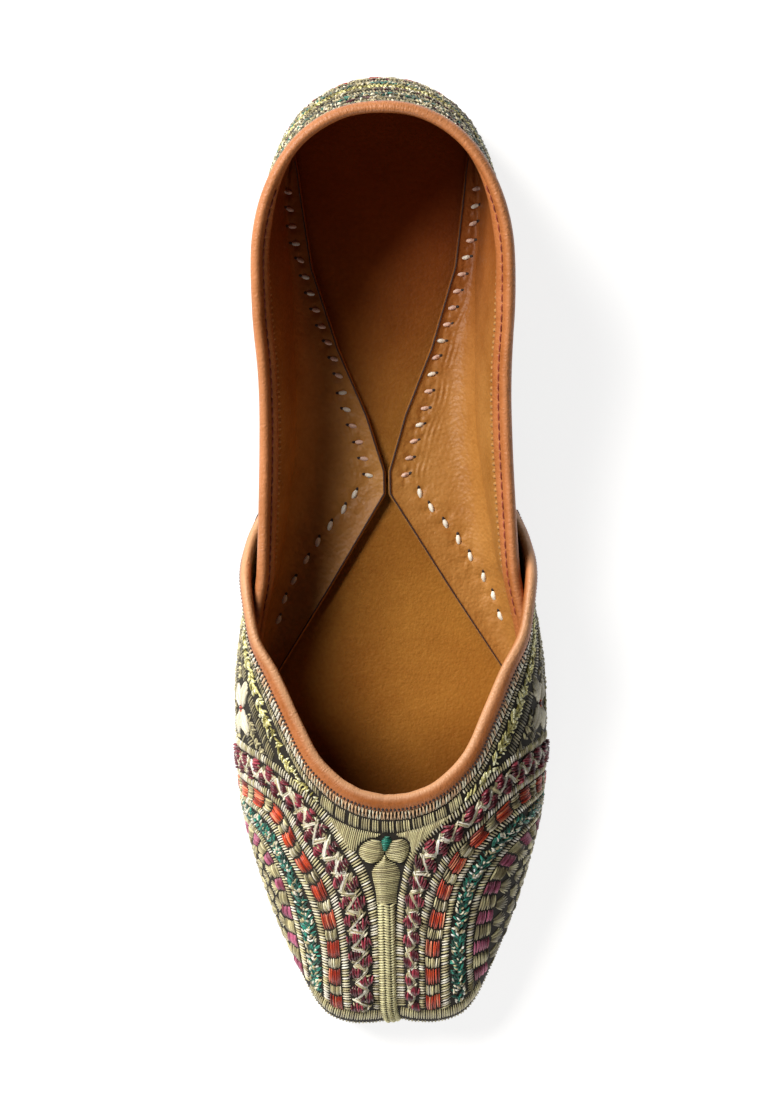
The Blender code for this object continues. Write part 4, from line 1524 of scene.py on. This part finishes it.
# a dark line along each flap's free edge: partly its dyed cut edge, partly painted shade where the edge
# stands off the insole
edgeDyeShadeBag = []
wide, high = sewing["edgeDyeAndShade"]
shows = flapOuter - flapInner > sewing["cutShows"]
for side in (-1.0, 1.0):
    line = inMetres(side * (flapInner + 0.15), flapAlong, flapBed + flaps["lift"] + 0.05)[shows][None]
    upwards = np.broadcast_to([0.0, 0.0, 1.0], line.shape)
    edgeDyeShadeBag.append((line, upwards, np.array([wide * mm]), np.array([high * mm]), dyed("edgeDyeAndShade", 1, 0.0)))
tubeMesh("flap_edge_dye_and_shade", edgeDyeShadeBag, sewingThread)
bumpBag = []
liningField = wallField(quarterLiningFace, quarterInner, quarterTable, quarterLast, 320, 48, 0.0)
liningField["channels"][..., normalPart] *= -1
*strip, pitch = sewing["bumps"]
band = edgeBand(liningField, strip, 1.2, quarterLast - 1.2)
ladder(bumpBag, band, pitch, ["lining"], wide=0.6, high=0.4)
tubeMesh("quarter_lining_bumps", bumpBag, sewingThread)


def alongBinding(inner, last, spec, spot, facing, pitch, size, name):
    # stitches set one after another along a binding, at a spot on its profile
    out, over = spot
    long, wide, high = size
    first = spec["ends"] + sewing["stopShort"]
    line = np.linspace(first, last - first, 900)
    top, outDir, overDir = bindingFrame(inner, last, spec, line)
    points = top + (outDir * out + overDir * over) * mm
    run = runLength(points) / mm
    centres = np.arange(pitch, run[-1] - pitch, pitch)
    row = np.interp(centres, run, line)
    centres = centres[np.minimum(row, last - row) < spec["tuckRows"][1] - 1.0]
    spots = centres[:, None] + np.linspace(-0.5, 0.5, 4)[None] * long
    path = np.stack([np.interp(spots, run, points[:, axis]) for axis in range(3)], -1)
    normal = unit(np.stack([np.interp(spots, run, outDir[:, axis]) for axis in range(3)], -1)) * facing
    count = len(centres)
    return path, normal, np.full(count, wide * mm), np.full(count, high * mm), dyed(name, count)


redBag = [alongBinding(quarterInner, quarterLast, quarterBinding, sewing["redLine"], -1.0, sewing["redPitch"],
                       sewing["redStitch"], "rust")]
tubeMesh("quarter_binding_stitches", redBag, sewingThread)
# dark dots along the vamp binding's hem: painted shade in the needle holes
needleBag = [alongBinding(vampInner, vampLast, vampBinding, sewing["needleHoles"], 1.0, sewing["needlePitch"],
                          sewing["needleHoleShade"], "holeShade")]
tubeMesh("vamp_binding_needle_hole_shade", needleBag, sewingThread)
print("sewing done")

# Floor, light and camera
studio = {
    "floorSize": 4.0,
    "floorColour": "A8A7A5",
    "floorGlow": 0.83,               # a white sheet lit from below, so that shadows stay pale
    "eye": (0.004, -0.0006, 0.9),    # almost straight above
    "aim": (0.0005, -0.0006, 0.02),
    "turn": 0.97,                    # degrees that the picture turns against the shoe
    "frameHeight": 0.2956,           # metres across the picture's height at the shoe
    "worldGlow": 0.03,
}


def studioSetting():
    bpy.ops.object.select_all(action="DESELECT")
    bpy.ops.mesh.primitive_plane_add(size=studio["floorSize"])
    floor = bpy.context.object
    floor.name = "studio_floor"
    material, tree, shader = newFinish("matt white paper sweep")
    plug(tree, shader, {"Base Color": (*srgb(studio["floorColour"]), 1), "Roughness": 0.9,
                        "Emission Color": (1.0, 1.0, 1.0, 1.0), "Emission Strength": studio["floorGlow"]}, {})
    floor.data.materials.append(material)


def areaLight(name, place, aim, size, power, colour):
    lamp = bpy.data.lights.new(name, "AREA")
    lamp.size = size
    lamp.energy = power
    lamp.color = colour
    made = bpy.data.objects.new(name, lamp)
    made.location = place
    made.rotation_euler = (Vector(aim) - Vector(place)).to_track_quat("-Z", "Y").to_euler()
    bpy.context.scene.collection.objects.link(made)


studioSetting()
areaLight("key", (-0.82, 0.66, 0.92), (0, 0, 0), size=0.7, power=33.0, colour=(1.0, 0.97, 0.93))
areaLight("low fill", (-0.1, -1.25, 0.34), (0, -0.05, 0.02), size=0.7, power=6.5, colour=(1.0, 0.98, 0.96))
world = bpy.data.worlds.new("studio") if not bpy.data.worlds else bpy.data.worlds[0]
bpy.context.scene.world = world
world.use_nodes = True
background = world.node_tree.nodes.get("Background") or world.node_tree.nodes.new("ShaderNodeBackground")
plug(world.node_tree, background, {"Color": (1.0, 1.0, 1.0, 1.0), "Strength": studio["worldGlow"]}, {})
bpy.context.scene.view_settings.view_transform = "Standard"

camera = bpy.data.objects.new("camera", bpy.data.cameras.new("camera"))
bpy.context.scene.collection.objects.link(camera)
eye = Vector(studio["eye"])
back = (eye - Vector(studio["aim"])).normalized()
turn = math.radians(studio["turn"])
upright = Vector((math.sin(turn), math.cos(turn), 0.0))
right = upright.cross(back).normalized()
camera.matrix_world = Matrix.Translation(eye) @ Matrix((right, back.cross(right), back)).transposed().to_4x4()
camera.data.sensor_fit = "VERTICAL"
camera.data.angle = 2 * math.atan(studio["frameHeight"] / 2 / (eye.z - studio["aim"][2]))
camera.data.clip_start = 0.01
bpy.context.scene.camera = camera
print("studio set")
